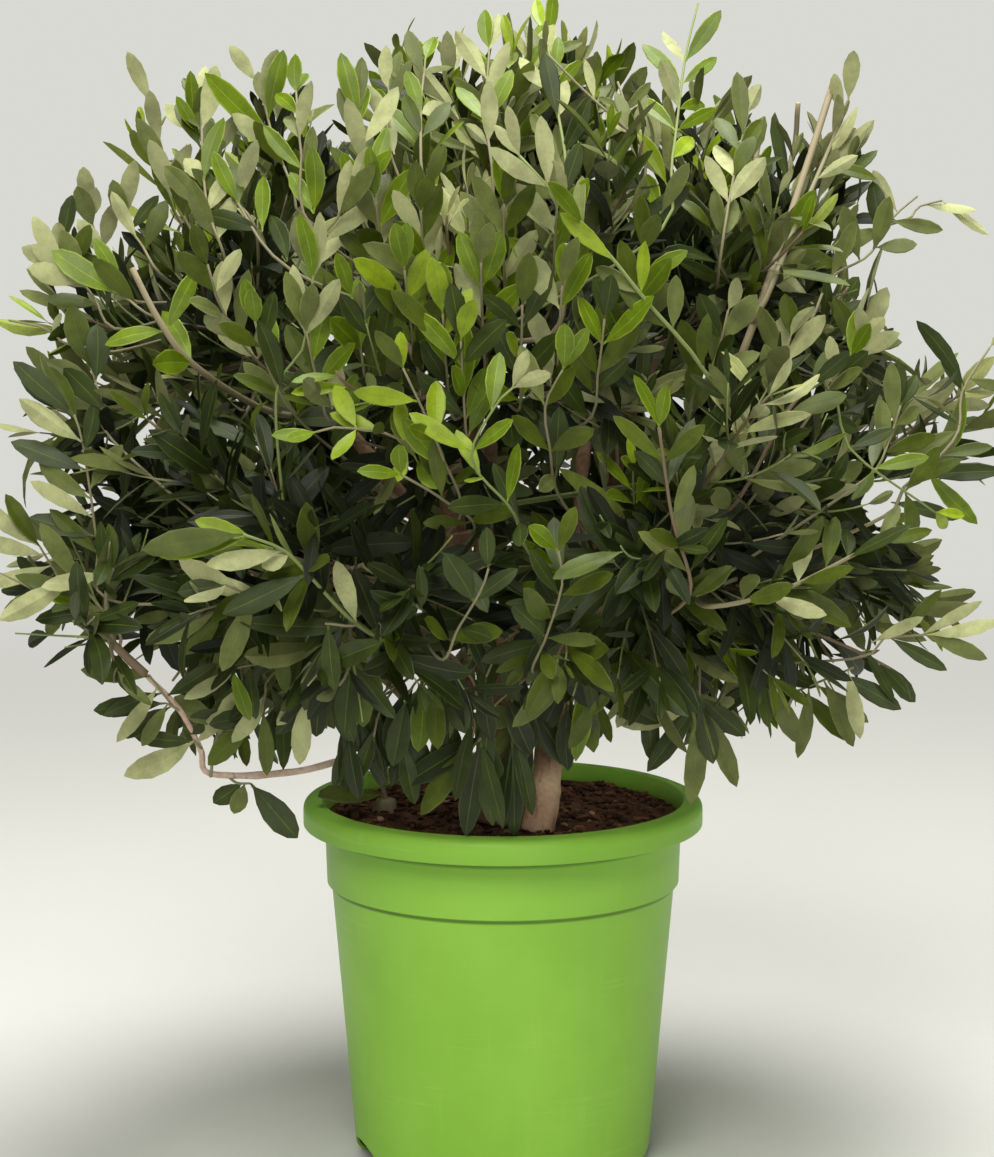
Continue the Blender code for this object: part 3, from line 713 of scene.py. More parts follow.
def barkMaterial(name, light, dark):
    made, tree, shader = newMaterial(name, 0.85, Specular_IOR_Level=0.25)
    tint = patched(tree, light, dark, 38.0, 330.0, 0.45)
    warm = patched(tree, white, black, 16.0, 90.0, 0.2)
    cracks = placed(tree, streaks, Stretch=(9, 9, 1), Scale=22.0, Amount=0.8)
    blush = maths(tree, "MULTIPLY", warm.outputs["Patch"], 0.5 if name == "oliveBark" else 0.15)
    colour = mixColour(tree, blush, tint.outputs["Color"], stems["warm"])
    # painted shade: the slim stem's bark goes over upward to the boughs' darker tones, where the crown shades
    # it
    if name == "oliveBark":
        parts = node(tree, "ShaderNodeSeparateXYZ")
        tree.links.new(node(tree, "ShaderNodeTexCoord").outputs["Object"], parts.inputs[0])
        height = maths(tree, "ADD", parts.outputs["Z"], maths(tree, "MULTIPLY", warm.outputs["Patch"], 0.012))
        high = ranged(tree, height, *stems["shadedBetween"])
        grey = mixColour(tree, tint.outputs["Grain"], stems["boughDark"], stems["boughLight"])
        colour = mixColour(tree, high, colour, grey)
    colour = mixColour(tree, cracks.outputs["Mask"], colour, tone(58, 42, 32))
    tree.links.new(colour, shader.inputs["Base Color"])
    height = maths(tree, "SUBTRACT", tint.outputs["Grain"], cracks.outputs["Mask"])
    bumped(tree, shader, height, 0.8, 0.0012)
    return made


class Limb:
    def __init__(self, points, radii):
        self.points, self.radii = points, radii

    def end(self):
        way = wayAt(self.points, len(self.points) - 1)
        return self.points[-1] + gap * way, way


def limbSwell(seed, length, count, collar, knuckled):
    # relief of a limb's surface: fissures along it, knobs, and a collar where it joins its parent
    rng = random.Random(seed)
    knobs = []
    for _ in range(3 + int(length * 30)):
        knobs.append((rng.uniform(0.1, 0.95), rng.uniform(0, 6.3), rng.uniform(0.12, 0.3)))

    def swell(i, a, radius, point):
        if knuckled:
            radius *= 1 + 0.10 * math.exp(-(((point.z - stems["knuckle"]) / 0.0035) ** 2))
        s = i / (count - 1)
        p = Vector((math.cos(a) * 2.2, math.sin(a) * 2.2, s * length * 26 + seed))
        grooves = stems["fissure"] * min(1, radius / 0.010) * fractal(p, 0.8, 2.2, 4)
        r = radius * (1 + 0.05 * noise(Vector((math.cos(a), math.sin(a), s * length * 60 + seed)))) + grooves
        for place, angle, size in knobs:
            near = ((s - place) * length / (1.1 * radius + 0.003)) ** 2
            r += radius * size * math.exp(-near) * (0.55 + 0.45 * math.cos(a - angle))
        return r * (1 + collar * math.exp(-(s * length / (0.9 * radius + 0.004)) ** 2))

    return swell


def boughName(mass):
    return "leader" if mass == "top" else "bough_" + mass


def makeLimbs():
    # the same curves as the solids follow, drawn finer; gives the limbs and where each mass starts
    limbs, fine, starts = {}, {}, {}
    for name, coarse, count in (("trunk", 11, 90), ("second_stem", 8, 80)):
        radii = stems["radii"][name]
        limbs[name] = Limb(smoothRoute(stems[name], coarse), tapered(coarse, *radii))
        fine[name] = (smoothRoute(stems[name], count), tapered(count, *radii))
    for mass, (parentName, share, radius) in boughs.items():
        name = boughName(mass)
        start, parentWay = onLine(limbs[parentName].points, share)
        axis, thin = fromAngles(*masses[mass]), crown["stemRadii"][0]
        heading = axis + crown["boughLift"] * up
        end = crownPoint(axis, crown["massStart"])
        startWay = parentWay if share == 1 else 0.6 * parentWay + (end - start).normalized()
        if share == 1:
            start = start + gap * parentWay
        limbs[name] = Limb(bend(start, startWay, end, heading, 7), tapered(7, radius, thin))
        root = start - (0.004 * parentWay if share == 1 else Vector())
        fine[name] = (bend(root, startWay, end, heading, 48), tapered(48, radius, thin))
        starts[mass] = limbs[name].end()
    root, middle, tip = sweep["radii"]
    out = smoothRoute([onLine(limbs["trunk"].points, sweep["share"])[0], *sweep["out"]], 8)
    limbs["bough_sweep"] = Limb(out, tapered(8, root, middle))
    start = limbs["bough_sweep"].end()[0]
    limbs["bough_sweep_end"] = Limb(smoothRoute([start, *sweep["up"]], 6), tapered(6, middle, tip))
    route = [*resampled(out, 5), *[Vector(p) for p in sweep["up"]]]
    fine["bough_sweep"] = (smoothRoute(route, 90), tapered(90, root, tip))
    starts["sweep"] = limbs["bough_sweep_end"].end()

    kinds = {"slim_stem": ("second_stem",), "sweeping_bough": ("bough_sweep", "bough_sweep_end")}
    apart = kinds["slim_stem"] + kinds["sweeping_bough"]
    kinds["trunk_and_boughs"] = [name for name in limbs if name not in apart]
    heaps = {label: Heap() for label in kinds}
    for seed, (name, (points, radii)) in enumerate(fine.items()):
        count, length = len(points), lengthOf(points)
        carriesOn = name in ("trunk", "second_stem", "leader", "bough_upper_right")
        relief = limbSwell(seed * 3.7, length, count, 0.0 if carriesOn else 0.7, name == "second_stem")
        heap = next(heaps[label] for label, names in kinds.items() if name in names)
        heap.tube(points, radii, stems["sides"] if radii[0] > 0.009 else 20, swell=relief)
    surfaces = {
        "slim_stem": barkMaterial("oliveBark", stems["light"], stems["dark"]),
        # the trunk and boughs take the darker bark, painted shade under the crown
        "trunk_and_boughs": barkMaterial("shadedBoughBark", stems["boughLight"], stems["boughDark"]),
        "sweeping_bough": barkMaterial("paleBark", sweep["light"], sweep["dark"]),
    }
    for label, heap in heaps.items():
        bark = heap.piece(label, [surfaces[label]])
        dress(bark, "bark", *kinds[label])
        print(label + ":", len(heap.faces), "faces")
    return limbs, starts


# leaves

leaf = {
    "length": (0.042, 0.064),
    "ratio": (3.3, 4.5),  # length to width
    "thickness": 0.00045,
    # share along the leaf, and its half width there as a share of the widest
    "outline": (
        (0, 0.08),
        (0.09, 0.13),
        (0.27, 0.62),
        (0.50, 0.96),
        (0.72, 0.95),
        (0.91, 0.54),
        (1.0, 0.05),
    ),
    "across": (-1, -0.86, -0.045, 0.045, 0.86, 1),
    "ribDip": 0.03,
    "mottle": (1.24, 0.74),  # how much lighter and darker its patches are
}

leafTones = {
    "leafShade": (tone(27, 35, 11), 0.55),
    "leafDeep": (tone(38, 48, 15), 0.50),
    "leafDark": (tone(54, 66, 21), 0.46),
    "leafOlive": (tone(76, 89, 16), 0.44),
    "leafGrey": (tone(102, 111, 55), 0.52),
    "leafFresh": (tone(100, 123, 12), 0.40),
    "leafYoung": (tone(138, 160, 26), 0.38),
    "leafSilver": (tone(156, 161, 98), 0.54),
    "ribPale": (tone(84, 96, 34), 0.5),
    "ribYoung": (tone(130, 148, 46), 0.45),
    "underSage": (tone(110, 117, 62), 0.75),
    "underSilver": (tone(172, 176, 124), 0.8),
    "underYoung": (tone(136, 150, 60), 0.7),
}
toneNames = list(leafTones)
# upper side, rib, underside and edge
toneSets = {
    "shade": ("leafShade", "leafDark", "leafDark", "leafShade"),
    "deep": ("leafDeep", "leafOlive", "underSage", "leafDark"),
    "dark": ("leafDark", "ribPale", "underSage", "leafDark"),
    "olive": ("leafOlive", "ribPale", "underSage", "ribPale"),
    "grey": ("leafGrey", "underSage", "underSilver", "underSage"),
    "fresh": ("leafFresh", "ribYoung", "underYoung", "ribYoung"),
    "young": ("leafYoung", "ribYoung", "underYoung", "underYoung"),
    "silver": ("leafSilver", "underSilver", "underSilver", "underSilver"),
}
# the same shoot's leaves lower down it, and at its tip
older = {name: name for name in toneSets}
older |= {"young": "fresh", "fresh": "olive", "silver": "grey", "olive": "dark"}
younger = {"young": "young", "fresh": "young", "silver": "silver", "olive": "fresh", "grey": "silver"}
younger |= {"dark": "olive", "deep": "dark", "shade": "deep"}


def leafMaterials():
    made = []
    for name, (colour, roughness) in leafTones.items():
        under = name.startswith("under")
        material, tree, shader = newMaterial(
            name, roughness, Base_Color=colour, Sheen_Weight=0.12 if under else 0.0, Specular_IOR_Level=0.3
        )
        light, dark = ((*(c * k for c in colour[:3]), 1) for k in leaf["mottle"])
        tint = patched(tree, light, dark, 52.0, 520.0, 0.22)
        tree.links.new(tint.outputs["Color"], shader.inputs["Base Color"])
        made.append(material)
    return made


class Leaves:
    # leaves gathered as numbers, then drawn together

    def __init__(self):
        self.rows, self.tones, self.spots = [], [], {}

    def crowded(self, point, reach=0.0072):
        cell = [math.floor(c / 0.01) for c in point]
        for dx, dy, dz in product((-1, 0, 1), repeat=3):
            for other in self.spots.get((cell[0] + dx, cell[1] + dy, cell[2] + dz), ()):
                if (other - point).length < reach:
                    return True
        return False

    def add(self, root, way, upper, length, width, bends, toneName):
        # bends: how far it arches, curves sideways, twists and folds
        middle = root + 0.55 * length * way
        self.spots.setdefault(tuple(math.floor(c / 0.01) for c in middle), []).append(middle)
        self.rows.append((*root, *way, *upper, length, width, *bends))
        self.tones.append(toneName)

    def piece(self, name, materials):
        rows = np.array(self.rows)
        root, way, upper = rows[:, 0:3], rows[:, 3:6], rows[:, 6:9]
        length, width, arch, sickle, twist, fold = (rows[:, k, None] for k in range(9, 15))
        side = np.cross(way, upper)
        side /= np.linalg.norm(side, axis=1, keepdims=True)
        upper = np.cross(side, way)
        along, half = np.array(leaf["outline"]).T
        stations = len(along)
        # the midrib's own curve: it arches down, bends a little sideways, and twists
        place = np.repeat(root[:, None, :], stations, axis=1)
        for k in range(1, stations):
            t = 0.5 * (along[k] + along[k - 1])
            forward = way * np.cos(arch * t) - upper * np.sin(arch * t) + side * np.sin(sickle * t)
            place[:, k] = place[:, k - 1] + forward * length * (along[k] - along[k - 1])
        columns = len(leaf["across"]) + 1  # the last one is the underside's midrib
        verts = np.zeros((len(rows), stations, columns, 3))
        for k, t in enumerate(along):
            out = upper * np.cos(arch * t) + way * np.sin(arch * t)
            turned = side * np.cos(twist * t) + out * np.sin(twist * t)
            raised = out * np.cos(twist * t) - side * np.sin(twist * t)
            wide = 0.5 * width * half[k]
            thick = leaf["thickness"] * (0.4 + 0.6 * half[k])
            for c, u in enumerate((*leaf["across"], 0)):
                lift = wide * (fold * abs(u) - 0.16 * u * u)
                if c == columns - 1:
                    lift = lift - 0.5 * thick - 2 * leaf["ribDip"] * wide
                elif abs(u) < 1:
                    lift = lift + 0.5 * thick - (leaf["ribDip"] * wide if abs(u) < 0.1 else 0)
                verts[:, k, c] = place[:, k] + turned * (u * wide) + raised * lift
        quads, kinds = [], []
        for k in range(stations - 1):
            for j in range(columns):
                a, b = k * columns + j, k * columns + (j + 1) % columns
                quads.append((a, b, b + columns, a + columns))
                kinds.append(1 if k == 0 and j < 5 else (3, 0, 1, 0, 3, 2, 2)[j])
        n = len(rows)
        offsets = (np.arange(n) * stations * columns)[:, None]
        faces = (np.array(quads)[None] + offsets[:, :, None]).reshape(-1, 4)
        sets = np.array([[toneNames.index(x) for x in toneSets[t]] for t in self.tones])
        slots = np.concatenate([sets[:, kinds].reshape(-1), sets[:, 1], sets[:, 1]])
        ring = np.arange(columns)
        caps = (offsets + ring[None, ::-1]).tolist() + (offsets + (stations - 1) * columns + ring).tolist()
        mesh = bpy.data.meshes.new(name)
        mesh.from_pydata(verts.reshape(-1, 3), [], faces.tolist() + caps)
        mesh.polygons.foreach_set("material_index", slots.astype(np.int32))
        return finished(name, mesh, materials, sharp=24)


# growing the foliage

shoots = {
    # where on its mass's stem a main twig may spring, the best first
    "forks": (0.30, 0.50, 0.70, 0.85, 0.15, 0.95),
    "pull": 0.30,
    "sideStep": 0.033,  # between pairs of side shoots on a main twig
    "sideLength": (0.060, 0.100),
    "sideSpread": (28, 50),
    "pairStep": (0.0145, 0.0200),
    "spread": (30, 54),
    "twigRadius": (0.0019, 0.0010),
    "sideRadius": (0.0011, 0.0006),
    "crossing": 0.014,  # how far a leaf may reach over a mass's border
    "keepClear": 0.010,  # round the leaves of a shoot that stands out
    "leafyFrom": {"main": 0.42, "side": 0.16},  # share of the way along
    # chance of a side shoot, and of a leaf near a shoot's foot and further on
    "sideChance": {"low": 0.68, "high": 0.90},
    "leafChance": {"foot": 0.80, "rest": 0.94},
    # the crown's foot is thinner in leaves below this height, by this share
    "thinBelow": 0.43,
    "thinned": 0.84,
    "droop": 0.26,
    "undersides": 0.30,  # share of the leaves high in the crown that show theirs
    # mean and spread of how far a leaf arches, curves sideways and twists, and how it folds
    "arch": (0.25, 0.36),
    "sickle": (0, 0.2),
    "twist": (0, 0.28),
    "fold": (0.14, 0.55),
}
barks = {
    "barkTwig": tone(124, 106, 82),
    "greyTwig": tone(138, 132, 100),
    "greenTwig": tone(132, 146, 84),
    "cutWood": tone(146, 134, 104),
    "cutEnd": tone(196, 180, 144),
}
barkNames = list(barks)

# places that the crown leaves open, as a centre and half sizes
openSky = (
    ((0.340, 0.000, 0.680), (0.085, 0.30, 0.055)),
    ((0.312, 0.000, 0.622), (0.022, 0.30, 0.014)),
    ((0.338, 0.000, 0.502), (0.068, 0.30, 0.034)),
    ((0.290, 0.000, 0.345), (0.090, 0.30, 0.034)),
    ((-0.335, 0.000, 0.345), (0.090, 0.30, 0.040)),
    ((-0.275, -0.080, 0.415), (0.022, 0.12, 0.016)),
    ((-0.105, -0.080, 0.355), (0.020, 0.14, 0.020)),
    ((-0.118, -0.160, 0.375), (0.012, 0.16, 0.022)),
    ((-0.100, -0.160, 0.430), (0.012, 0.16, 0.015)),
    ((-0.185, -0.160, 0.392), (0.012, 0.16, 0.022)),
    ((-0.205, -0.160, 0.435), (0.014, 0.16, 0.013)),
    ((-0.152, -0.160, 0.404), (0.010, 0.16, 0.018)),
    ((0.150, -0.160, 0.385), (0.014, 0.16, 0.018)),
    # and the hollows of its front
    ((-0.065, -0.330, 0.560), (0.070, 0.085, 0.026)),
    ((0.010, -0.330, 0.545), (0.060, 0.085, 0.026)),
    ((0.085, -0.320, 0.550), (0.050, 0.075, 0.022)),
    ((-0.150, -0.300, 0.580), (0.040, 0.070, 0.018)),
    ((-0.010, -0.290, 0.450), (0.060, 0.070, 0.018)),
    ((0.110, -0.270, 0.430), (0.040, 0.060, 0.016)),
)


def spray(line, leaves, size, tones, spread=40, lift=0.3, part=(0.15, 1), bark="greyTwig", radii=(1.3, 0.8)):
    # A shoot that stands out. Its line, leaf length and width, and radii are in millimetres. leaves
    # is how many pairs it has or, near the viewer, how each leaf points in degrees clockwise from
    # straight up. A leaf given as three numbers has its place along the line in percent, how it
    # points, and its length. lift is how far leaves rise (or hang, below 0), and part is the share
    # of the line that has leaves.
    return {
        "line": [Vector(p) / 1000 for p in line],
        "leaves": leaves,
        "length": size[0] / 1000,
        "width": size[1] / 1000,
        "tones": tones.split(),
        "spread": math.radians(spread),
        "lift": lift,
        "part": part,
        "bark": barkNames.index(bark),
        "radii": [r / 1000 for r in radii],
    }


def rising(x, y, z, tones):
    # a leafy shoot that rises to a place on the crown's outside
    route = ((0.82 * x, 0.80 * y, z - 75), (0.95 * x, 0.93 * y, z - 35), (x, y, z))
    return spray(route, 4, (46, 15), tones, 44, 0.4, (0.1, 1))


cutShoot = {"bark": "cutWood", "part": (0.55, 0.7)}
woody = {"bark": "barkTwig", "radii": (2.2, 1.3)}
standOuts = {
    "low_front_left": (
        # hanging over the pot's rim, from left to right
        spray(((-160, -140, 400), (-168, -155, 385), (-170, -160, 372)), (150, 175, 200, 232), (46, 14),
            "dark olive silver deep"),
        spray(((-110, -160, 400), (-128, -178, 396), (-140, -185, 385)), (160, 185, 212, 240), (48, 15),
            "dark silver deep olive"),
        spray(((-50, -105, 367), (-90, -170, 406), (-120, -195, 435)), (179, 206, 232, 262, 340),
            (58, 19), "olive dark deep dark grey", part=(0.7, 1.0), **woody),
        spray(((-50, -130, 400), (-62, -150, 392), (-70, -160, 380)), (170, 192, 214), (50, 18),
            "fresh dark deep"),
        spray(((15, -95, 375), (0, -130, 365), (-18, -150, 350)), (237, 223, 194, 178, 164), (74, 19),
            "deep olive deep dark dark", part=(0.85, 1.0), **woody),
        spray(((30, -100, 390), (25, -125, 378), (20, -140, 362)), (219, 198, 150, 161, 268), (50, 19),
            "grey deep deep dark grey", part=(0.6, 1.0), **woody),
        # the long spray that arches out to the left over the front
        spray(((-30, -130, 400), (-70, -200, 425), (-100, -250, 450), (-130, -290, 490),
            (-145, -305, 508), (-170, -320, 520)), ((31, 130, 44), (29, 72, 42), (42, 344, 55),
            (54, 344, 46), (53, 268, 80), (78, 243, 62), (88, 256, 52), (86, 240, 20), (98, 260, 62),
            (100, 265, 66), (97, 284, 40)), (52, 16),
            "olive dark deep silver dark dark silver silver fresh olive young", bark="greenTwig",
            radii=(2.1, 1.0)),
        spray(((-140, -200, 455), (-165, -230, 470), (-175, -250, 470)), ((100, 297, 50), (70, 275, 42),
            (50, 250, 36), (85, 240, 34)), (44, 15), "silver grey dark olive"),
        spray(((-60, -120, 410), (-105, -180, 420)), ((100, 188, 60), (70, 215, 42), (85, 165, 40)),
            (50, 18), "dark deep olive"),
        spray(((-110, -170, 440), (-155, -190, 432)), ((100, 177, 40), (60, 200, 46), (80, 222, 40)),
            (44, 13), "olive dark deep"),
        spray(((-90, -130, 410), (-125, -160, 397), (-137, -165, 390)), ((100, 219, 34), (60, 170, 50),
            (80, 190, 44)), (44, 15), "silver dark deep"),
        spray(((-150, -150, 415), (-190, -170, 405)), ((100, 163, 38), (90, 235, 44), (50, 205, 38),
            (70, 180, 40)), (42, 12), "fresh grey dark dark"),
        spray(((-140, -120, 385), (-177, -150, 364)), ((100, 230, 46), (60, 200, 36), (80, 262, 40)),
            (42, 15), "olive dark dark"),
        spray(((-130, -110, 392), (-160, -140, 382)), ((100, 168, 54), (80, 190, 46), (60, 150, 38)),
            (46, 14), "dark deep grey"),
        spray(((-90, -110, 374), (-115, -140, 360)), ((100, 175, 50), (70, 155, 40), (40, 198, 38)),
            (44, 14), "deep dark deep"),
        spray(((-30, -120, 400), (-60, -150, 388)), ((100, 205, 38), (60, 180, 44), (80, 160, 40)),
            (42, 15), "dark deep dark"),
        spray(((-20, -150, 405), (-45, -190, 395)), ((100, 190, 42), (70, 168, 38)), (42, 17),
            "olive dark"),
        spray(((-165, -140, 440), (-200, -170, 446)), ((100, 241, 54), (80, 262, 44), (60, 222, 40),
            (90, 214, 40)), (46, 14), "grey dark dark olive"),
        spray(((20, -130, 430), (0, -170, 425), (-12, -172, 400)), ((100, 185, 48), (70, 165, 42),
            (60, 205, 44), (30, 190, 46)), (46, 14), "deep dark dark deep"),
        spray(((25, -110, 400), (8, -145, 388), (-8, -150, 374)), ((60, 172, 50), (100, 192, 52),
            (80, 158, 46), (40, 180, 44)), (48, 16), "deep dark deep deep"),
        spray(((20, -90, 380), (12, -120, 370), (6, -140, 350)), ((100, 176, 74), (96, 190, 70),
            (92, 165, 62), (70, 182, 66), (50, 172, 60)), (66, 14), "deep deep dark deep deep"),
        spray(((-70, -100, 385), (-95, -130, 372), (-110, -140, 352)), ((100, 176, 46), (92, 196, 44),
            (80, 160, 50), (60, 180, 48), (40, 170, 44)), (48, 13), "deep dark deep dark deep"),
        spray(((-60, -110, 380), (-68, -130, 366), (-72, -140, 350)), ((100, 172, 48), (90, 190, 40),
            (70, 158, 46), (50, 184, 44)), (46, 14), "dark deep dark deep"),
        spray(((-75, -105, 385), (-88, -135, 368), (-92, -145, 352)), ((100, 178, 40), (85, 196, 44),
            (70, 164, 42)), (44, 13), "deep dark deep"),
        spray(((-40, -120, 385), (-42, -140, 370)), ((100, 186, 46), (80, 168, 50), (50, 178, 44)),
            (46, 15), "deep dark deep"),
        # a bough that shows low on the left, and what hangs before it
        spray(((-65, -40, 350), (-75, -50, 365), (-95, -75, 390), (-110, -100, 415)), 0, (40, 12), "dark",
            bark="barkTwig", radii=(4.2, 3.0)),
        spray(((-100, -250, 450), (-120, -262, 452)), ((90, 178, 46), (40, 205, 42)), (46, 15),
            "dark deep"),
        spray(((-120, -190, 450), (-163, -240, 465), (-187, -255, 477)), 4, (52, 16),
            "olive dark grey silver dark", 56, -0.5),
        # the left edge and the top left
        spray(((-275, -150, 450), (-285, -150, 490), (-290, -150, 530), (-295, -150, 565),
            (-300, -150, 582)), ((100, 311, 56), (85, 305, 54), (70, 290, 58), (55, 300, 44),
            (45, 304, 52), (25, 312, 48), (95, 340, 44), (80, 20, 36), (60, 30, 40), (35, 285, 50),
            (15, 260, 46), (10, 60, 40)), (50, 14),
            "dark silver dark grey silver olive olive dark grey dark silver dark"),
        spray(((-270, -150, 560), (-280, -150, 590), (-290, -130, 613)), ((100, 338, 46), (70, 300, 40),
            (80, 10, 40), (40, 320, 42)), (44, 17), "olive grey dark dark"),
        spray(((-152, -256, 601), (-133, -272, 637), (-125, -280, 686)), 2, (52, 13), "dark silver fresh",
            36, 0.3, bark="greenTwig"),
        # the middle
        spray(((-30, -240, 520), (-41, -305, 571), (-51, -320, 598), (-65, -336, 630)), 4, (40, 13),
            "olive fresh young young", 54, 0.3, (0.3, 1)),
        spray(((-50, -230, 545), (-70, -300, 581), (-106, -321, 590), (-121, -328, 588)), 4, (36, 12),
            "fresh olive young fresh", 66, 0.1, (0.3, 1)),
        spray(((-20, -230, 510), (-41, -300, 541), (-66, -338, 561)), 2, (38, 13), "olive fresh", 60, 0.1),
        spray(((-45, -240, 425), (-30, -300, 455), (-15, -326, 484), (-10, -338, 500)), 3, (46, 16),
            "olive dark dark", 56, 0.2, (0.3, 1)),
    ),
    "low_front_right": (
        # hanging over the pot's rim, from left to right
        spray(((10, -110, 380), (32, -150, 400), (60, -190, 413)), (222, 186, 174, 132, 110), (68, 18),
            "grey fresh olive dark fresh", part=(0.75, 1.0)),
        spray(((95, -140, 420), (100, -150, 400), (102, -152, 385)), (150, 172, 200), (50, 15),
            "deep dark grey"),
        spray(((40, -110, 405), (45, -140, 390), (46, -150, 376)), ((100, 188, 48), (85, 168, 46),
            (60, 204, 44)), (46, 14), "deep dark deep"),
        spray(((128, -150, 445), (137, -160, 415), (138, -165, 378)), ((92, 244, 58), (96, 216, 62),
            (100, 183, 72), (98, 152, 66), (90, 136, 44), (94, 170, 46)), (64, 17),
            "grey dark grey grey dark dark"),
        spray(((175, -130, 420), (183, -145, 400), (186, -150, 388)), (120, 150, 175, 205, 235), (48, 14),
            "dark grey olive silver dark"),
        spray(((236, -168, 411), (263, -176, 427), (295, -180, 431)), ((100, 84, 52), (98, 108, 46),
            (94, 60, 48), (70, 40, 44), (60, 120, 46), (40, 60, 42), (30, 150, 44)), (48, 11),
            "silver grey silver olive dark grey dark"),
        # the right
        spray(((245, -200, 540), (262, -190, 560), (275, -170, 590)), 3, (44, 14), "olive grey dark", 46,
            0.3, (0.2, 1)),
        spray(((215, -216, 598), (241, -232, 641)), 3, (36, 12), "grey dark fresh silver", 46, 0.4),
        spray(((260, -170, 510), (280, -150, 530), (305, -120, 545), (325, -100, 565), (330, -80, 592),
            (352, -60, 622)), ((80, 331, 62), (77, 336, 34), (80, 186, 54), (74, 197, 62), (45, 75, 38),
            (84, 112, 28), (30, 84, 58), (35, 141, 54), (20, 60, 44), (60, 245, 40), (10, 100, 50),
            (100, 40, 22)), (50, 13), "dark dark fresh grey olive grey dark fresh olive grey dark silver",
            bark="greyTwig", radii=(1.7, 0.9)),
        spray(((210, -216, 608), (236, -219, 564), (298, -188, 518)), 4, (40, 13),
            "dark fresh olive young", 54, 0.3, bark="greenTwig"),
        spray(((140, -272, 465), (188, -256, 474), (254, -232, 503)), 5, (50, 14),
            "grey silver olive dark grey", 54, 0.3, radii=(1.9, 1.3)),
        spray(((105, -230, 450), (124, -285, 478), (110, -311, 530), (100, -332, 591)), 6, (48, 13),
            "olive dark grey dark olive fresh", 56, 0.2, (0.3, 1), bark="barkTwig", radii=(1.5, 1.1)),
        spray(((130, -190, 500), (157, -230, 529), (190, -234, 590), (208, -232, 611)), 4, (46, 15),
            "grey dark olive", 52, 0.0, (0.3, 1), bark="barkTwig", radii=(1.5, 1.2)),
        # the middle
        spray(((25, -240, 490), (5, -310, 535), (-21, -330, 570), (-6, -338, 605), (6, -342, 618)), 5,
            (46, 13), "dark fresh young fresh silver", 60, 0.1, (0.35, 1), "greenTwig"),
        spray(((40, -230, 530), (30, -295, 575), (27, -312, 604), (38, -328, 628)), 3, (46, 14),
            "dark olive grey fresh", 44, 0.4, (0.3, 1)),
        spray(((20, -240, 415), (28, -295, 448), (38, -326, 488), (35, -340, 512)), 5, (44, 14),
            "dark olive dark olive fresh", 62, 0.1, (0.3, 1)),
    ),
    "low_right": (
        # hanging low on the right
        spray(((195, -72, 365), (211, -117, 380), (243, -188, 409)), (183, 172, 155, 138, 115, 128),
            (52, 14), "grey silver grey olive dark grey", part=(0.3, 1.0)),
    ),
    "low_left": (
        # the left edge
        spray(((-300, -125, 440), (-320, -125, 470), (-330, -120, 485)), ((60, 225, 44), (70, 250, 50),
            (85, 285, 52), (100, 300, 54), (100, 325, 44), (30, 210, 38)), (48, 14),
            "dark grey grey silver olive grey"),
    ),
    "upper_left": (
        # the left edge and the top left
        spray(((-270, -130, 625), (-295, -130, 628), (-310, -120, 630), (-325, -115, 640),
            (-350, -110, 645)), ((62, 20, 16),), (16, 5), "silver", radii=(1.2, 0.8)),
        spray(((-270, -130, 640), (-290, -110, 662), (-310, -90, 685), (-315, -80, 697)), ((100, 9, 36),
            (95, 340, 20), (60, 345, 38), (50, 300, 32), (30, 280, 38), (75, 25, 34)), (36, 15),
            "dark silver grey grey olive olive"),
        spray(((-240, -160, 650), (-265, -150, 665), (-290, -140, 672), (-310, -120, 682)),
            ((38, 300, 56), (70, 285, 42), (85, 310, 36), (100, 330, 42), (100, 300, 32), (20, 320, 44)),
            (44, 16), "fresh grey grey silver silver olive"),
        spray(((-262, -120, 660), (-280, -90, 685), (-290, -70, 700), (-300, -50, 717)), ((100, 0, 38),
            (85, 340, 32), (50, 321, 34), (95, 20, 26), (40, 280, 36), (20, 330, 38), (60, 15, 36)),
            (36, 14), "silver grey silver grey olive fresh grey"),
        spray(((-240, -140, 680), (-255, -120, 700), (-270, -100, 714)), ((100, 12, 46), (90, 345, 34),
            (60, 330, 38), (40, 20, 38), (80, 40, 32)), (40, 13), "silver grey grey olive dark"),
        spray(((-215, -130, 700), (-225, -120, 720), (-235, -90, 735), (-245, -60, 765),
            (-255, -40, 797)), ((100, 340, 40), (75, 346, 42), (52, 336, 48), (32, 339, 48), (45, 15, 34),
            (15, 350, 42), (10, 40, 36)), (42, 14), "silver silver grey grey silver olive grey"),
        spray(((-170, -160, 705), (-185, -140, 730), (-200, -110, 755), (-220, -80, 782)),
            ((100, 358, 38), (98, 18, 30), (90, 325, 32), (25, 304, 42), (28, 9, 46), (60, 345, 34),
            (70, 30, 34)), (38, 13), "fresh olive fresh olive silver grey grey"),
        spray(((-190, -180, 690), (-205, -160, 731), (-215, -80, 796)), 5, (44, 14),
            "grey silver fresh olive silver", 40, 0.4, (0.1, 1)),
        # a cut shoot
        spray(((-165, -110, 580), (-212, -180, 618), (-235, -189, 649), (-255, -176, 685)), 1, (54, 16),
            "fresh", 62, 0.1, radii=(2.6, 2.2), **cutShoot),
        # rising in the upper half of the front
        rising(-165, -262, 655, "grey dark olive fresh"),
        rising(-200, -215, 690, "silver grey olive grey"),
    ),
    "upper_front": (
        # the top left
        spray(((-130, -180, 715), (-145, -160, 740), (-160, -120, 770), (-170, -90, 800),
            (-175, -80, 812)), ((62, 309, 66), (55, 305, 40), (100, 325, 32), (75, 8, 50), (92, 22, 34),
            (85, 350, 24), (10, 350, 42), (25, 30, 40), (40, 330, 38)), (44, 14),
            "fresh silver grey fresh silver silver olive silver olive"),
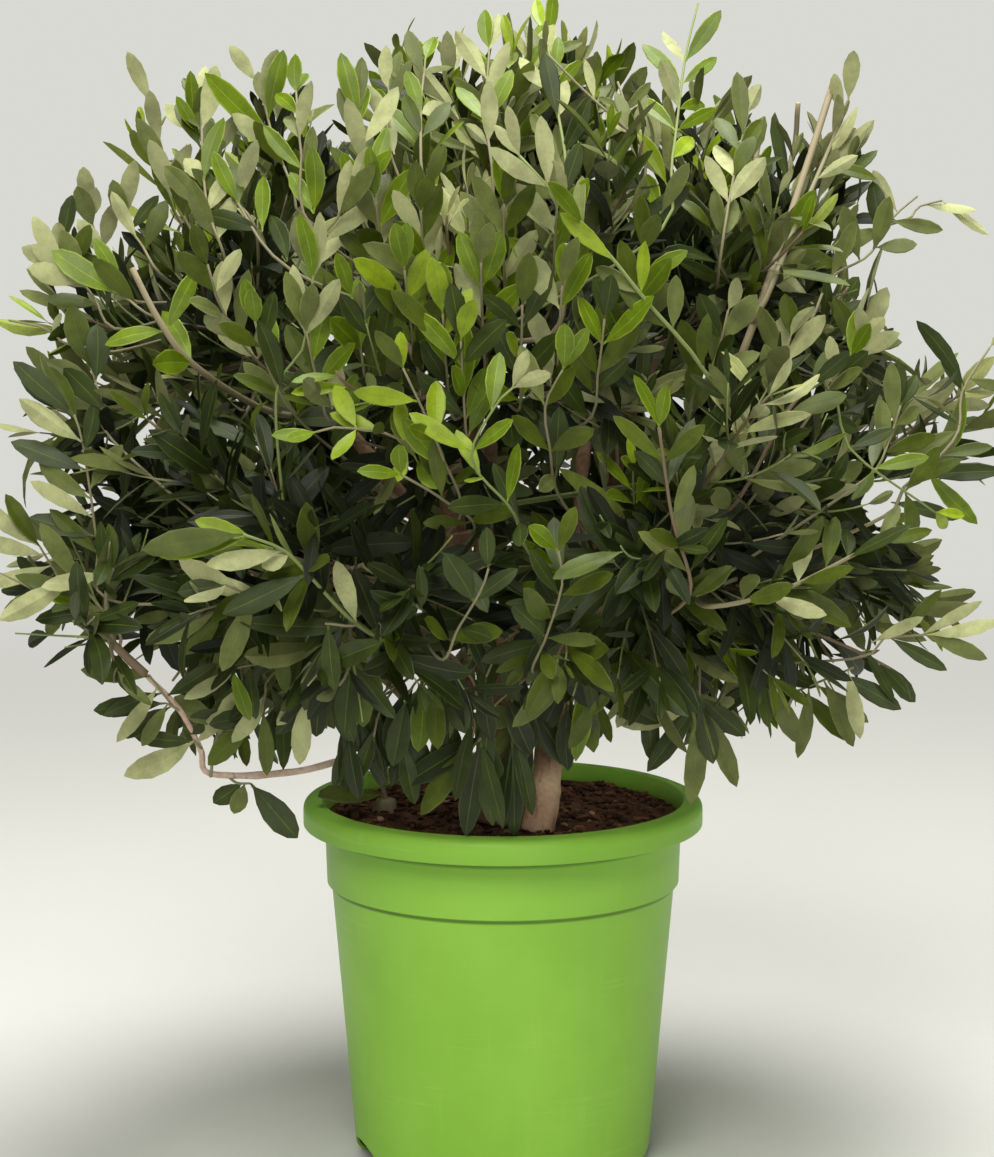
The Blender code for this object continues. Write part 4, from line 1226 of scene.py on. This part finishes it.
        spray(((-139, -212, 683), (-187, -153, 734), (-225, -64, 779)), 5, (48, 13),
            "dark fresh silver olive fresh", 42, 0.5, (0.05, 1)),
        spray(((-73, -200, 753), (-79, -150, 806)), 3, (40, 12), "silver fresh grey", 40, 0.5, (0.2, 1)),
        spray(((-90, -228, 712), (-96, -204, 773), (-99, -192, 796)), 5, (46, 13),
            "olive fresh grey fresh silver", 38, 0.4),
        spray(((-135, -232, 677), (-112, -245, 720), (-100, -252, 738)), 3, (46, 14),
            "silver silver grey fresh", 42, 0.5),
        spray(((-125, -220, 710), (-137, -200, 766), (-143, -150, 806)), 4, (42, 13),
            "fresh grey silver fresh", 40, 0.4, (0.15, 1)),
        spray(((-50, -240, 730), (-56, -200, 786), (-55, -100, 827)), 5, (42, 13),
            "olive fresh silver grey fresh", 42, 0.4, (0.1, 1)),
        # the top
        spray(((-7, -232, 740), (-12, -189, 786), (-10, -88, 836)), 5, (42, 12),
            "silver fresh grey fresh silver", 40, 0.5, (0.2, 1)),
        spray(((39, -240, 727), (36, -163, 800), (30, -24, 850)), 7, (44, 12),
            "grey dark silver fresh grey fresh young", 42, 0.5, (0.05, 0.98), "greenTwig"),
        spray(((102, -228, 710), (115, -179, 759), (129, -74, 827), (141, -20, 868)), 6, (46, 13),
            "grey young fresh silver fresh grey", 44, 0.4, (0.06, 0.72), "greenTwig"),
        spray(((93, -188, 739), (79, -140, 812)), 1, (28, 8), "grey", 60, 0.4, (0.5, 0.7)),
        # a cut shoot
        spray(((35, -248, 648), (41, -260, 706)), 0, (30, 9), "grey", radii=(2.0, 1.9), **cutShoot),
        # the long pale shoot right of the middle
        spray(((160, -235, 560), (133, -272, 622), (93, -288, 670), (62, -289, 708), (10, -280, 764)), 6,
            (44, 12), "olive grey young fresh silver silver", 44, 0.8, (0.3, 1), "greenTwig", (2.0, 1.1)),
        # rising in the upper half of the front
        rising(-100, -285, 672, "olive fresh dark fresh"),
        rising(-65, -288, 690, "fresh olive young fresh"),
        rising(-40, -295, 662, "dark fresh olive young"),
        rising(-15, -288, 695, "olive grey fresh grey"),
        rising(12, -296, 668, "fresh dark young olive"),
        rising(38, -290, 680, "olive silver fresh grey"),
        rising(-55, -262, 728, "grey fresh silver olive"),
        rising(0, -262, 732, "fresh grey olive fresh"),
        rising(-85, -258, 736, "olive young grey fresh"),
        rising(35, -260, 728, "grey olive fresh silver"),
        rising(-130, -280, 650, "dark olive fresh grey"),
        rising(-28, -305, 645, "dark fresh dark young"),
        rising(66, -285, 658, "dark olive fresh dark"),
    ),
    "upper_right": (
        # the top right
        spray(((145, -225, 690), (154, -200, 739), (171, -120, 791)), 5, (44, 14),
            "grey silver olive grey silver", 40, 0.4, (0.1, 1)),
        spray(((99, -176, 766), (56, -170, 805), (31, -160, 830)), 2, (36, 9), "grey silver", 50, 0.6),
        # bare and cut shoots
        spray(((140, -150, 570), (168, -190, 640), (215, -81, 750), (239, -20, 808)), 1, (44, 15),
            "fresh", 60, 0.3, radii=(3.0, 2.6), **cutShoot),
        spray(((150, -60, 640), (174, -60, 710), (184, -30, 760), (190, -8, 783)), 1, (26, 8), "fresh",
            50, 0.3, radii=(2.1, 1.9), **cutShoot),
        spray(((211, -12, 756), (215, -16, 797)), 0, (30, 9), "grey", radii=(2.1, 1.9), **cutShoot),
        spray(((170, -190, 650), (205, -132, 715), (235, -50, 765), (251, -20, 798)), ((100, 4, 38),
            (96, 332, 28), (70, 95, 40), (62, 60, 34)), (40, 12), "silver silver olive grey",
            radii=(2.4, 1.4)),
        # the right
        spray(((205, -150, 640), (230, -120, 675), (260, -90, 690), (280, -60, 715), (300, -40, 730)),
            ((86, 325, 36), (75, 250, 44), (62, 85, 30), (60, 20, 40), (50, 340, 42), (40, 290, 44),
            (30, 25, 44), (15, 310, 44), (70, 350, 40), (80, 100, 38)), (44, 14),
            "silver grey grey grey grey olive grey silver dark grey"),
        spray(((285, -55, 712), (300, -40, 722), (318, -40, 727)), ((70, 98, 38), (100, 128, 42)),
            (40, 9), "silver silver", radii=(1.0, 0.8)),
        spray(((230, -150, 605), (252, -130, 632)), ((100, 22, 42), (80, 340, 40), (60, 60, 40),
            (40, 320, 38), (90, 85, 30)), (40, 14), "silver olive grey dark olive"),
        # rising in the upper half of the front
        rising(92, -265, 700, "olive grey fresh olive"),
        rising(150, -240, 660, "grey olive dark grey"),
        rising(195, -205, 640, "dark grey silver olive"),
    ),
    "top": (
        # rising behind the crown's highest point
        rising(-75, 55, 805, "olive grey fresh olive"),
        rising(-35, 110, 795, "grey olive dark grey"),
        rising(10, 50, 820, "olive young olive grey"),
        rising(45, 110, 800, "grey olive grey dark"),
        rising(85, 60, 805, "fresh olive grey olive"),
        rising(0, 165, 780, "olive grey dark olive"),
    ),
    "sweep": (
        # along the bough that sweeps out on the left
        spray(((-217, -125, 340), (-221, -130, 346)), ((100, 234, 56), (60, 41, 32), (90, 271, 45)),
            (48, 16), "silver silver dark"),
        spray(((-231, -129, 368), (-240, -134, 374)), ((100, 267, 54), (60, 240, 44), (90, 214, 36)),
            (48, 13), "dark dark grey"),
        spray(((-209, -131, 322), (-206, -128, 345), (-193, -126, 370)), (52, 250, 285, 20), (42, 16),
            "fresh dark grey silver", part=(0.4, 1.0)),
        spray(((-192, -118, 313), (-182, -116, 312)), ((100, 139, 52), (60, 200, 24), (40, 232, 26)),
            (52, 22), "dark grey dark"),
        spray(((-236, -130, 372), (-252, -136, 395)), (258, 280, 218, 60), (50, 14),
            "dark olive silver dark"),
        spray(((-272, -140, 425), (-287, -146, 448), (-305, -150, 470)), (262, 240, 285, 300, 330),
            (56, 16), "dark silver olive fresh grey", part=(0.1, 1.0)),
    ),
}


def leafWays(shoot, line, rng):
    # where each of its leaves springs from, which way it goes, and its share of the full size
    first, last = shoot["part"]
    if isinstance(shoot["leaves"], tuple):
        for k, given in enumerate(shoot["leaves"]):
            if isinstance(given, tuple):
                share, bearing, size = given[0] / 100, given[1], given[2] / 1000 / shoot["length"]
            else:
                share = first + (last - first) * ((k * 0.62 + 0.3) % 1)
                bearing, size = given + rng.uniform(-4, 4), rng.uniform(0.88, 1.08)
            angle = math.radians(bearing)
            way = Vector((math.sin(angle), rng.uniform(-0.25, 0.05), math.cos(angle)))
            yield onLine(line, share)[0], way.normalized(), size
        return
    for pair in range(shoot["leaves"] + 1 if shoot["leaves"] else 0):
        s = first + (last - first) * (pair + rng.uniform(-0.15, 0.15)) / shoot["leaves"]
        point, way = onLine(line, max(0, min(1, s)))
        atTip = pair == shoot["leaves"] and last > 0.9
        turn = math.radians(rng.choice((-1, 1)) * (15 if pair % 2 else 55)) + rng.uniform(-0.3, 0.3)
        across = Matrix.Rotation(turn, 3, way) @ way.cross(Vector((0, -1, 0.35))).normalized()
        for hand in (-1, 1):
            if rng.random() < 0.9:
                angle = shoot["spread"] * rng.uniform(0.65, 1.25) * (0.45 if atTip else 1)
                chord = math.cos(angle) * way + hand * math.sin(angle) * across
                chord = chord + shoot["lift"] * rng.uniform(0.5, 1.3) * up
                yield point, chord.normalized(), rng.uniform(0.74, 1.12) * (0.8 if atTip else 1)


def leavesOf(shoot):
    rng = random.Random(round(1000 * sum(shoot["line"][-1])))
    rows = []
    tones = shoot["tones"]
    found = list(leafWays(shoot, smoothRoute(shoot["line"], 41), rng))
    for k, (point, way, size) in enumerate(found):
        toneName = tones[k * len(tones) // len(found)]
        if isinstance(shoot["leaves"], int) and rng.random() < 0.3:
            toneName = rng.choice(tones)
        facing = Vector((0, -1, 0.35)) + 0.35 * Vector([rng.uniform(-1, 1) for _ in range(3)])
        if toneName == "silver" or (toneName == "grey" and rng.random() < 0.3):
            facing = -facing
        bends = (rng.uniform(-0.05, 0.4), rng.gauss(0, 0.15), rng.gauss(0, 0.2), rng.uniform(0.12, 0.38))
        width = shoot["width"] * rng.uniform(0.82, 1.1) * (0.5 + 0.5 * size)
        upper = facing - facing.dot(way) * way
        rows.append((point, way, upper, shoot["length"] * size, width, bends, toneName))
    return rows


def standOutSpots():
    # along the shoots that stand out and their leaves, and a little way out in front of them
    spots = []
    for shoot in chain.from_iterable(standOuts.values()):
        spots += resampled(shoot["line"], 8)
        for root, way, _, length, *_ in leavesOf(shoot):
            out = (root - crown["centre"]).normalized() + Vector((0, -0.6, 0))
            for along, outward in product((0.35, 0.65, 0.95), (0, 0.016)):
                spots.append(root + along * length * way + outward * out)
    return spots


def spreadWays(count):
    turn = math.pi * (3 - math.sqrt(5))
    for k in range(count):
        height = 1 - 2 * (k + 0.5) / count
        if height > crown["underside"]:
            flat = math.sqrt(1 - height * height)
            yield Vector((flat * math.cos(k * turn), flat * math.sin(k * turn), height))


def growthWay(direction, rng):
    lift = 0.35 + 0.3 * direction.z if direction.z > 0.3 else 1.4 * direction.z
    sway = Vector((rng.uniform(-0.3, 0.3), rng.uniform(-0.3, 0.3), rng.uniform(-0.15, 0.15)))
    return (direction + lift * up + sway).normalized()


def shootTips():
    rng = random.Random(5)
    tips = []
    for layer in ("outer", "inner", "between"):
        count, reach = crown[layer]
        for way in spreadWays(count):
            if layer != "between" or way.y > crown["betweenFrom"]:
                tips.append((crownPoint(way, rng.uniform(*reach)), growthWay(way, rng)))
    return tips


def clearOfPot(point):
    return math.hypot(point.x, point.y) > pot["lipEdge"] + 0.006 or point.z > pot["height"] + 0.008


def inSky(point):
    for centre, sizes in openSky:
        if sum(((p - c) / s) ** 2 for p, c, s in zip(point, centre, sizes)) < 1:
            return True
    return False


class Space:
    # what a mass may grow into

    def __init__(self, name, limbTree, limbRadii, kept):
        self.name = name
        self.limbTree, self.limbRadii, self.kept = limbTree, limbRadii, kept
        self.outermost = crown["outermost"]
        axis = fromAngles(*masses[name]) if name in masses else None
        others = [fromAngles(*angles) for other, angles in masses.items() if axis and other != name]
        self.borders = [(axis - other).normalized() for other in others]

    def owns(self, point, margin=0.0025):
        inside = sweep["ball"] - (point - sweep["centre"]).length
        if self.name == "sweep":
            return inside > margin
        if inside > -margin:
            return False
        unit = squaredUp(point - crown["centre"])
        return all(unit.dot(between) * crown["drop"] >= margin for between in self.borders)

    def free(self, point, margin=0.0025, clearance=crown["limbClearance"]):
        if crownShare(point) >= self.outermost or not clearOfPot(point) or not self.owns(point, margin):
            return False
        _, index, distance = self.limbTree.find(point)
        return distance - self.limbRadii[index] > clearance

    def vacant(self, point):
        # room for a fine shoot or leaf, which also keeps off the sky and the shoots that stand out
        if inSky(point) or self.kept.find(point)[2] < shoots["keepClear"]:
            return False
        return self.free(point, -shoots["crossing"], 0.002)


def limbSpots(limbs):
    spots = []
    for limb in limbs.values():
        count = int(lengthOf(limb.points) / 0.003) + 2
        for k in range(count):
            s = k / (count - 1)
            place = s * (len(limb.points) - 1)
            i = min(int(place), len(limb.points) - 2)
            radius = limb.radii[i] + (place - i) * (limb.radii[i + 1] - limb.radii[i])
            spots.append((limb.points[i].lerp(limb.points[i + 1], place - i), radius))
    return spots


def treeOf(points):
    tree = KDTree(len(points))
    for k, point in enumerate(points):
        tree.insert(point, k)
    tree.balance()
    return tree


def sprayTone(point, rng):
    # which green a spray has, by where it stands in the crown
    height = max(0, min(1, (point.z - 0.40) / 0.45))
    side = min(1, abs(point.x + 0.03) / 0.33)
    bright = (1 - side) * max(0, min(1, 2.2 * (height - 0.14)))
    # painted shade: the further in, the darker, for the shade inside the crown
    inner = (1 - 0.6 * height) * max(0, min(1, (0.94 - crownShare(point)) / 0.22))
    light = 1 - 0.85 * inner
    weights = {
        "shade": 1.5 * inner + 0.05 * (1 - height),
        "deep": max(0.06, 0.56 - height) + 0.5 * inner,
        "dark": max(0.16, 0.56 - 0.45 * height),
        "olive": (0.16 + 0.20 * (1 - side)) * light,
        "grey": (0.03 + 0.26 * height + 0.28 * side * (0.4 + height)) * light,
        "fresh": (0.02 + 0.30 * bright) * light,
        "young": (0.01 + 0.12 * bright) * light,
        "silver": (0.01 + 0.26 * height**2 + 0.05 * side * height) * light,
    }
    return rng.choices(list(weights), list(weights.values()))[0]


class Grower:
    def __init__(self, space, seed):
        self.space, self.rng = space, random.Random(seed)
        self.leaves, self.twigs = Leaves(), Heap()

    def leafAt(self, root, twigWay, turn, size, spread, toneName, tries=3):
        rng = self.rng
        across = twigWay.orthogonal().normalized()
        # they droop at the crown's foot and lift at its top, where they are smaller too
        droop = shoots["droop"] * max(-1, min(1, (crown["centre"].z + 0.03 - root.z) / 0.12))
        size *= 1.12 - 0.20 * max(0, min(1, (root.z - 0.36) / 0.4))
        for attempt in range(tries):
            spin = Matrix.Rotation(turn + rng.uniform(-0.35, 0.35) * (1 + attempt), 3, twigWay)
            angle = math.radians(spread + rng.uniform(-9, 9))
            way = math.cos(angle) * twigWay + math.sin(angle) * (spin @ across)
            way = (way - droop * rng.uniform(-0.2, 1.8) * up).normalized()
            length = rng.uniform(*leaf["length"]) * size
            width = length / rng.uniform(*leaf["ratio"])
            middle, tip = root + 0.5 * length * way, root + length * way
            if not self.leaves.crowded(middle) and self.space.vacant(tip) and self.space.vacant(middle):
                outward = Vector((root.x, root.y, 0)).normalized()
                upper = twigWay - twigWay.dot(way) * way + rng.uniform(0.1, 0.6) * up
                upper = upper + rng.uniform(0, 0.8) * outward
                upper = upper + Vector([rng.uniform(-0.4, 0.4) for _ in range(3)])
                if rng.random() < shoots["undersides"] * max(0, min(1, (root.z - 0.5) / 0.2)):
                    upper = -upper
                bends = [rng.gauss(*shoots[kind]) for kind in ("arch", "sickle", "twist")]
                bends.append(rng.uniform(*shoots["fold"]))
                self.leaves.add(root, way, upper, length, width, bends, toneName)
                return

    def leafyPart(self, points, start, toneName, vigour=1.0):
        # opposite pairs, each turned a quarter from the last, and a small pair at the tip
        rng = self.rng
        length = lengthOf(points)
        turn = rng.uniform(0, math.pi)
        place = start * length
        while place < 0.97 * length:
            s = place / length
            point, way = onLine(points, s)
            size = vigour * (1.0 if s < 0.7 else 1.0 - 1.1 * (s - 0.7))
            aged = older[toneName] if s < 0.45 and rng.random() < 0.6 else toneName
            aged = younger[aged] if s > 0.82 and rng.random() < 0.5 else aged
            chance = shoots["leafChance"]["foot" if s < 0.3 else "rest"]
            chance *= shoots["thinned"] if point.z < shoots["thinBelow"] else 1
            for sideTurn in (0, math.pi):
                if rng.random() < chance:
                    grown = size * rng.uniform(0.82, 1.12)
                    self.leafAt(point, way, turn + sideTurn, grown, rng.uniform(*shoots["spread"]), aged)
            turn += math.pi / 2 + rng.uniform(-0.2, 0.2)
            place += rng.uniform(*shoots["pairStep"])
        point, way = points[-1], wayAt(points, len(points) - 1)
        for sideTurn in (0, math.pi):
            self.leafAt(point, way, turn + sideTurn, 0.55 * vigour, 20, younger[toneName])

    def sideShoot(self, main, s, turn):
        rng = self.rng
        root, way = onLine(main, s)
        across = way.orthogonal().normalized()
        length = rng.uniform(*shoots["sideLength"]) * (1.2 - 0.62 * s)
        # they rise in the upper crown and hang at its foot
        lift = 1.2 if root.z > 0.55 else 0.6 if root.z > 0.47 else -0.2
        for attempt in range(4):
            spin = Matrix.Rotation(turn + rng.uniform(-0.3, 0.3) * (1 + attempt), 3, way)
            angle = math.radians(rng.uniform(*shoots["sideSpread"]))
            out = math.cos(angle) * way + math.sin(angle) * (spin @ across)
            heading = (out + lift * up * rng.uniform(0.4, 1.0) + 0.35 * way).normalized()
            tip = root + length * (0.5 * out + 0.5 * heading).normalized()
            if self.space.vacant(tip) and self.space.vacant(root.lerp(tip, 0.5)):
                points = bend(root, out, tip, heading, 8)
                self.twigs.tube(points, tapered(8, *shoots["sideRadius"]), 5, 2 if rng.random() < 0.6 else 1)
                self.leafyPart(points, shoots["leafyFrom"]["side"], sprayTone(tip, rng))
                return
            length *= 0.86

    def mainTwig(self, stem, tip, heading, sides=True):
        # the same twig as the solid's, then its finer shoots
        rng = self.rng
        for share in shoots["forks"]:
            root, stemWay = onLine(stem, share)
            points = bend(root, stemWay + (tip - root).normalized(), tip, heading, 9, shoots["pull"])
            if all(self.space.free(point) for point in points[1:]):
                break
        else:
            return
        if inSky(tip):
            return
        points = bend(root, stemWay + (tip - root).normalized(), tip, heading, 15, shoots["pull"])
        length = lengthOf(points)
        radii = [r * (1.12 if k % 3 == 0 else 1) for k, r in enumerate(tapered(15, *shoots["twigRadius"]))]
        self.twigs.tube(points, radii, 6, 0 if length > 0.12 else 1)
        place, turn = 0.10 * length + rng.uniform(0, 0.01), rng.uniform(0, math.pi)
        chance = shoots["sideChance"]["low" if tip.z < 0.42 else "high"]
        while sides and place < 0.80 * length:
            for sideTurn in (0, math.pi):
                if rng.random() < chance:
                    self.sideShoot(points, place / length, turn + sideTurn)
            turn += math.pi / 2
            place += shoots["sideStep"] * rng.uniform(0.85, 1.2)
        self.leafyPart(points, shoots["leafyFrom"]["main"], sprayTone(tip, rng), 1.05)

    def standOut(self, shoot, carriers):
        # grows from the near place on the mass's own stem or bough that leads into it most straightly
        first, way = shoot["line"][0], (shoot["line"][1] - shoot["line"][0]).normalized()
        root = min(carriers, key=lambda p: (first - p).length * (1.5 - (first - p).normalized().dot(way)))
        points = smoothRoute([root, *shoot["line"]], 8 + 4 * len(shoot["line"]))
        radii = tapered(len(points), *shoot["radii"])
        cutEnd = barkNames.index("cutEnd") if shoot["bark"] == barkNames.index("cutWood") else None
        self.twigs.tube(points, radii, 8, shoot["bark"], cutEnd)
        for row in leavesOf(shoot):
            self.leaves.add(*row)


def growCrown(limbs, starts):
    spots = limbSpots(limbs)
    limbTree, limbRadii = treeOf([point for point, _ in spots]), [radius for _, radius in spots]
    kept = treeOf(standOutSpots())
    tips = shootTips()
    leafSurfaces = leafMaterials()
    twigSurfaces = [newMaterial(name, 0.75, Base_Color=colour)[0] for name, colour in barks.items()]
    total = 0
    for seed, (name, (start, startWay)) in enumerate(starts.items()):
        space = Space(name, limbTree, limbRadii, kept)
        grower = Grower(space, 400 + seed)
        if name == "sweep":
            stem = bend(start, startWay, sweep["centre"] + 0.045 * up, up, 7)
            own = [(sweep["centre"] + 0.052 * way, way) for way in spreadWays(7)]
        else:
            axis = fromAngles(*masses[name])
            stem = bend(start, startWay, crownPoint(axis, crown["stemReach"]), axis + 0.2 * up, 7)
            own = tips
        drawn = resampled([start - 0.002 * startWay, *stem], 22)
        grower.twigs.tube(drawn, tapered(22, *crown["stemRadii"]), 9, 0)
        carriers = resampled(stem, 40)
        if name == "sweep":
            carriers += resampled(limbs["bough_sweep"].points, 40)
            carriers += resampled(limbs["bough_sweep_end"].points, 30)
        else:
            carriers += resampled(limbs[boughName(name)].points, 30)[8:]
        for shoot in standOuts.get(name, ()):
            grower.standOut(shoot, carriers)
        for mass, tip, heading in placedShoots:
            if mass == name:
                space.outermost = crown["placedOutermost"]
                grower.mainTwig(stem, Vector(tip), Vector(heading).normalized(), sides=False)
        space.outermost = crown["outermost"]
        for tip, heading in own:
            if space.owns(tip):
                grower.mainTwig(stem, tip, heading)
        piece = grower.leaves.piece("leaves_" + name, leafSurfaces)
        dress(piece, "leaf", "foliage_" + name)
        twigs = grower.twigs.piece("twigs_" + name, twigSurfaces)
        dress(twigs, "bark")
        total += len(grower.leaves.rows)
        print(name + ":", len(grower.leaves.rows), "leaves")
    print("crown:", total, "leaves in all")
    return leafSurfaces, twigSurfaces


# the young shoot at the foot

sucker = {
    "foot": Vector((-0.088, 0.000, 0.2663)),
    "top": Vector((-0.100, -0.004, 0.318)),
    "radius": 0.0024,
    "stub": (0.0085, 0.010),  # the old cut it springs from: radius and height
    # share up the stem, tip, width and tone of each leaf
    "leaves": (
        (0.30, (-0.136, -0.040, 0.290), 0.026, "olive"),
        (0.30, (-0.098, 0.010, 0.352), 0.016, "dark"),
        (0.45, (-0.112, -0.010, 0.338), 0.015, "dark"),
        (0.55, (-0.080, 0.004, 0.350), 0.014, "deep"),
        (0.70, (-0.120, 0.010, 0.349), 0.013, "dark"),
        (0.97, (-0.104, -0.008, 0.352), 0.011, "olive"),
        (0.60, (-0.062, 0.030, 0.322), 0.013, "olive"),
        (0.40, (-0.074, -0.040, 0.300), 0.013, "dark"),
    ),
}


def makeSucker(leafSurfaces, twigSurfaces):
    rng = random.Random(77)
    stem = bend(sucker["foot"] - 0.004 * up, up, sucker["top"], sucker["top"] - sucker["foot"], 12)
    leaves, twigs = Leaves(), Heap()
    twigs.tube(stem, tapered(12, sucker["radius"], 0.0009), 8, 1)
    radius, height = sucker["stub"]
    foot = sucker["foot"] + Vector((-0.001, 0.002, 0))
    knob = [foot + Vector((0, 0, z * height)) for z in (-0.4, 0, 0.35, 0.7, 0.92, 1.0)]
    sizes = [radius * r for r in (1.15, 1.1, 1.0, 0.95, 0.8, 0.55)]
    twigs.tube(knob, sizes, 14, 3, 4, lambda i, a, r, p: r * (1 + 0.12 * math.sin(3 * a + i)))
    for share, tip, width, toneName in sucker["leaves"]:
        base, way = onLine(stem, share)
        chord = Vector(tip) - base
        upper = way + Vector((0, -0.5, 0.4)) + 0.2 * Vector([rng.uniform(-1, 1) for _ in range(3)])
        leaves.add(base, chord.normalized(), upper, chord.length, width, (0.15, 0, 0.1, 0.22), toneName)
    piece = leaves.piece("sucker_leaves", leafSurfaces)
    dress(piece, "leaf", "sucker")
    stalk = twigs.piece("sucker_stem", twigSurfaces)
    dress(stalk, "bark")
    print("sucker:", len(leaves.rows), "leaves")


# floor, light and camera

studio = {
    "floorRadius": 40,
    "floor": tone(215, 215, 210),
    "floorDark": tone(210, 210, 205),
    "backdrop": tone(217, 217, 211),
    "sky": tone(238, 236, 226),
    "skyStrength": 0.25,
    # how far from the plant the floor goes over to the backdrop
    "fade": (1.1, 3.2),
    # place, what it points at, size, watts, colour
    "lamps": (
        ((-1.2, -4.6, 5.1), (0, 0, 0.44), 3.6, 276, (1.0, 0.985, 0.95)),
        ((1.2, -5.6, 1.3), (0, 0, 0.25), 2.6, 62, (1.0, 0.99, 0.97)),
        ((0.25, 0.2, 3.0), (0, 0, 0.60), 1.6, 88, (1.0, 1.0, 0.97)),
    ),
    "camera": (-0.0045, -2.5, 0.809),
    "pitch": 8.30,
    "lens": 105.0,
}


def makeStudio():
    bm = bmesh.new()
    bmesh.ops.create_circle(bm, cap_ends=True, segments=96, radius=studio["floorRadius"])
    made, tree, shader = newMaterial("paleFloor", 0.9, Specular_IOR_Level=0.0, Emission_Strength=1.0)
    tint = patched(tree, studio["floor"], studio["floorDark"], 0.6, 60.0, 0.2)
    # the floor's own tone gives way to the backdrop's, which only the camera sees
    where, far = node(tree, "ShaderNodeTexCoord"), node(tree, "ShaderNodeVectorMath", operation="LENGTH")
    tree.links.new(where.outputs["Object"], far.inputs[0])
    fade, path = ranged(tree, far.outputs["Value"], *studio["fade"]), node(tree, "ShaderNodeLightPath")
    seen = maths(tree, "MULTIPLY", fade, path.outputs["Is Camera Ray"])
    lit = mixColour(tree, fade, tint.outputs["Color"], black)
    shown = mixColour(tree, seen, black, studio["backdrop"])
    tree.links.new(lit, shader.inputs["Base Color"])
    tree.links.new(shown, shader.inputs["Emission Color"])
    floor = finished("floor", meshOf("floor", bm), [made], smooth=False)
    floor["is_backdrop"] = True
    world = bpy.data.worlds.new("studio")
    scene.world = world
    world.use_nodes = True
    background = world.node_tree.nodes["Background"]
    background.inputs["Color"].default_value = studio["sky"]
    background.inputs["Strength"].default_value = studio["skyStrength"]
    # the backdrop shows paler than the light it gives
    tree = world.node_tree
    backdrop = node(tree, "ShaderNodeBackground", Color=studio["backdrop"])
    both, path = node(tree, "ShaderNodeMixShader"), node(tree, "ShaderNodeLightPath")
    tree.links.new(path.outputs["Is Camera Ray"], both.inputs[0])
    tree.links.new(background.outputs[0], both.inputs[1])
    tree.links.new(backdrop.outputs[0], both.inputs[2])
    tree.links.new(both.outputs[0], tree.nodes["World Output"].inputs["Surface"])
    for number, (place, target, size, power, colour) in enumerate(studio["lamps"]):
        light = bpy.data.lights.new(f"softbox{number}", "AREA")
        light.shape, light.size, light.energy, light.color = "DISK", size, power, colour
        lamp = bpy.data.objects.new(f"softbox{number}", light)
        lamp.location = place
        lamp.rotation_euler = (Vector(target) - Vector(place)).to_track_quat("-Z", "Y").to_euler()
        scene.collection.objects.link(lamp)
    camera = bpy.data.objects.new("camera", bpy.data.cameras.new("camera"))
    camera.data.lens, camera.data.sensor_width, camera.data.sensor_fit = studio["lens"], 36, "AUTO"
    camera.location = studio["camera"]
    camera.rotation_euler = (math.radians(90 - studio["pitch"]), 0, 0)
    scene.collection.objects.link(camera)
    scene.camera = camera
    scene.view_settings.view_transform = "Standard"
    print("studio: floor,", len(studio["lamps"]), "lamps, camera")


makePot()
makeSoil()
limbs, starts = makeLimbs()
leafSurfaces, twigSurfaces = growCrown(limbs, starts)
makeSucker(leafSurfaces, twigSurfaces)
makeStudio()

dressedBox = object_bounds()
sizes = {"cad": cadBox, "visual": dressedBox}
{label: [list(map(float, corner)) for corner in box] for label, box in sizes.items()}
print("box:", [round(float(v), 3) for c in dressedBox for v in c])
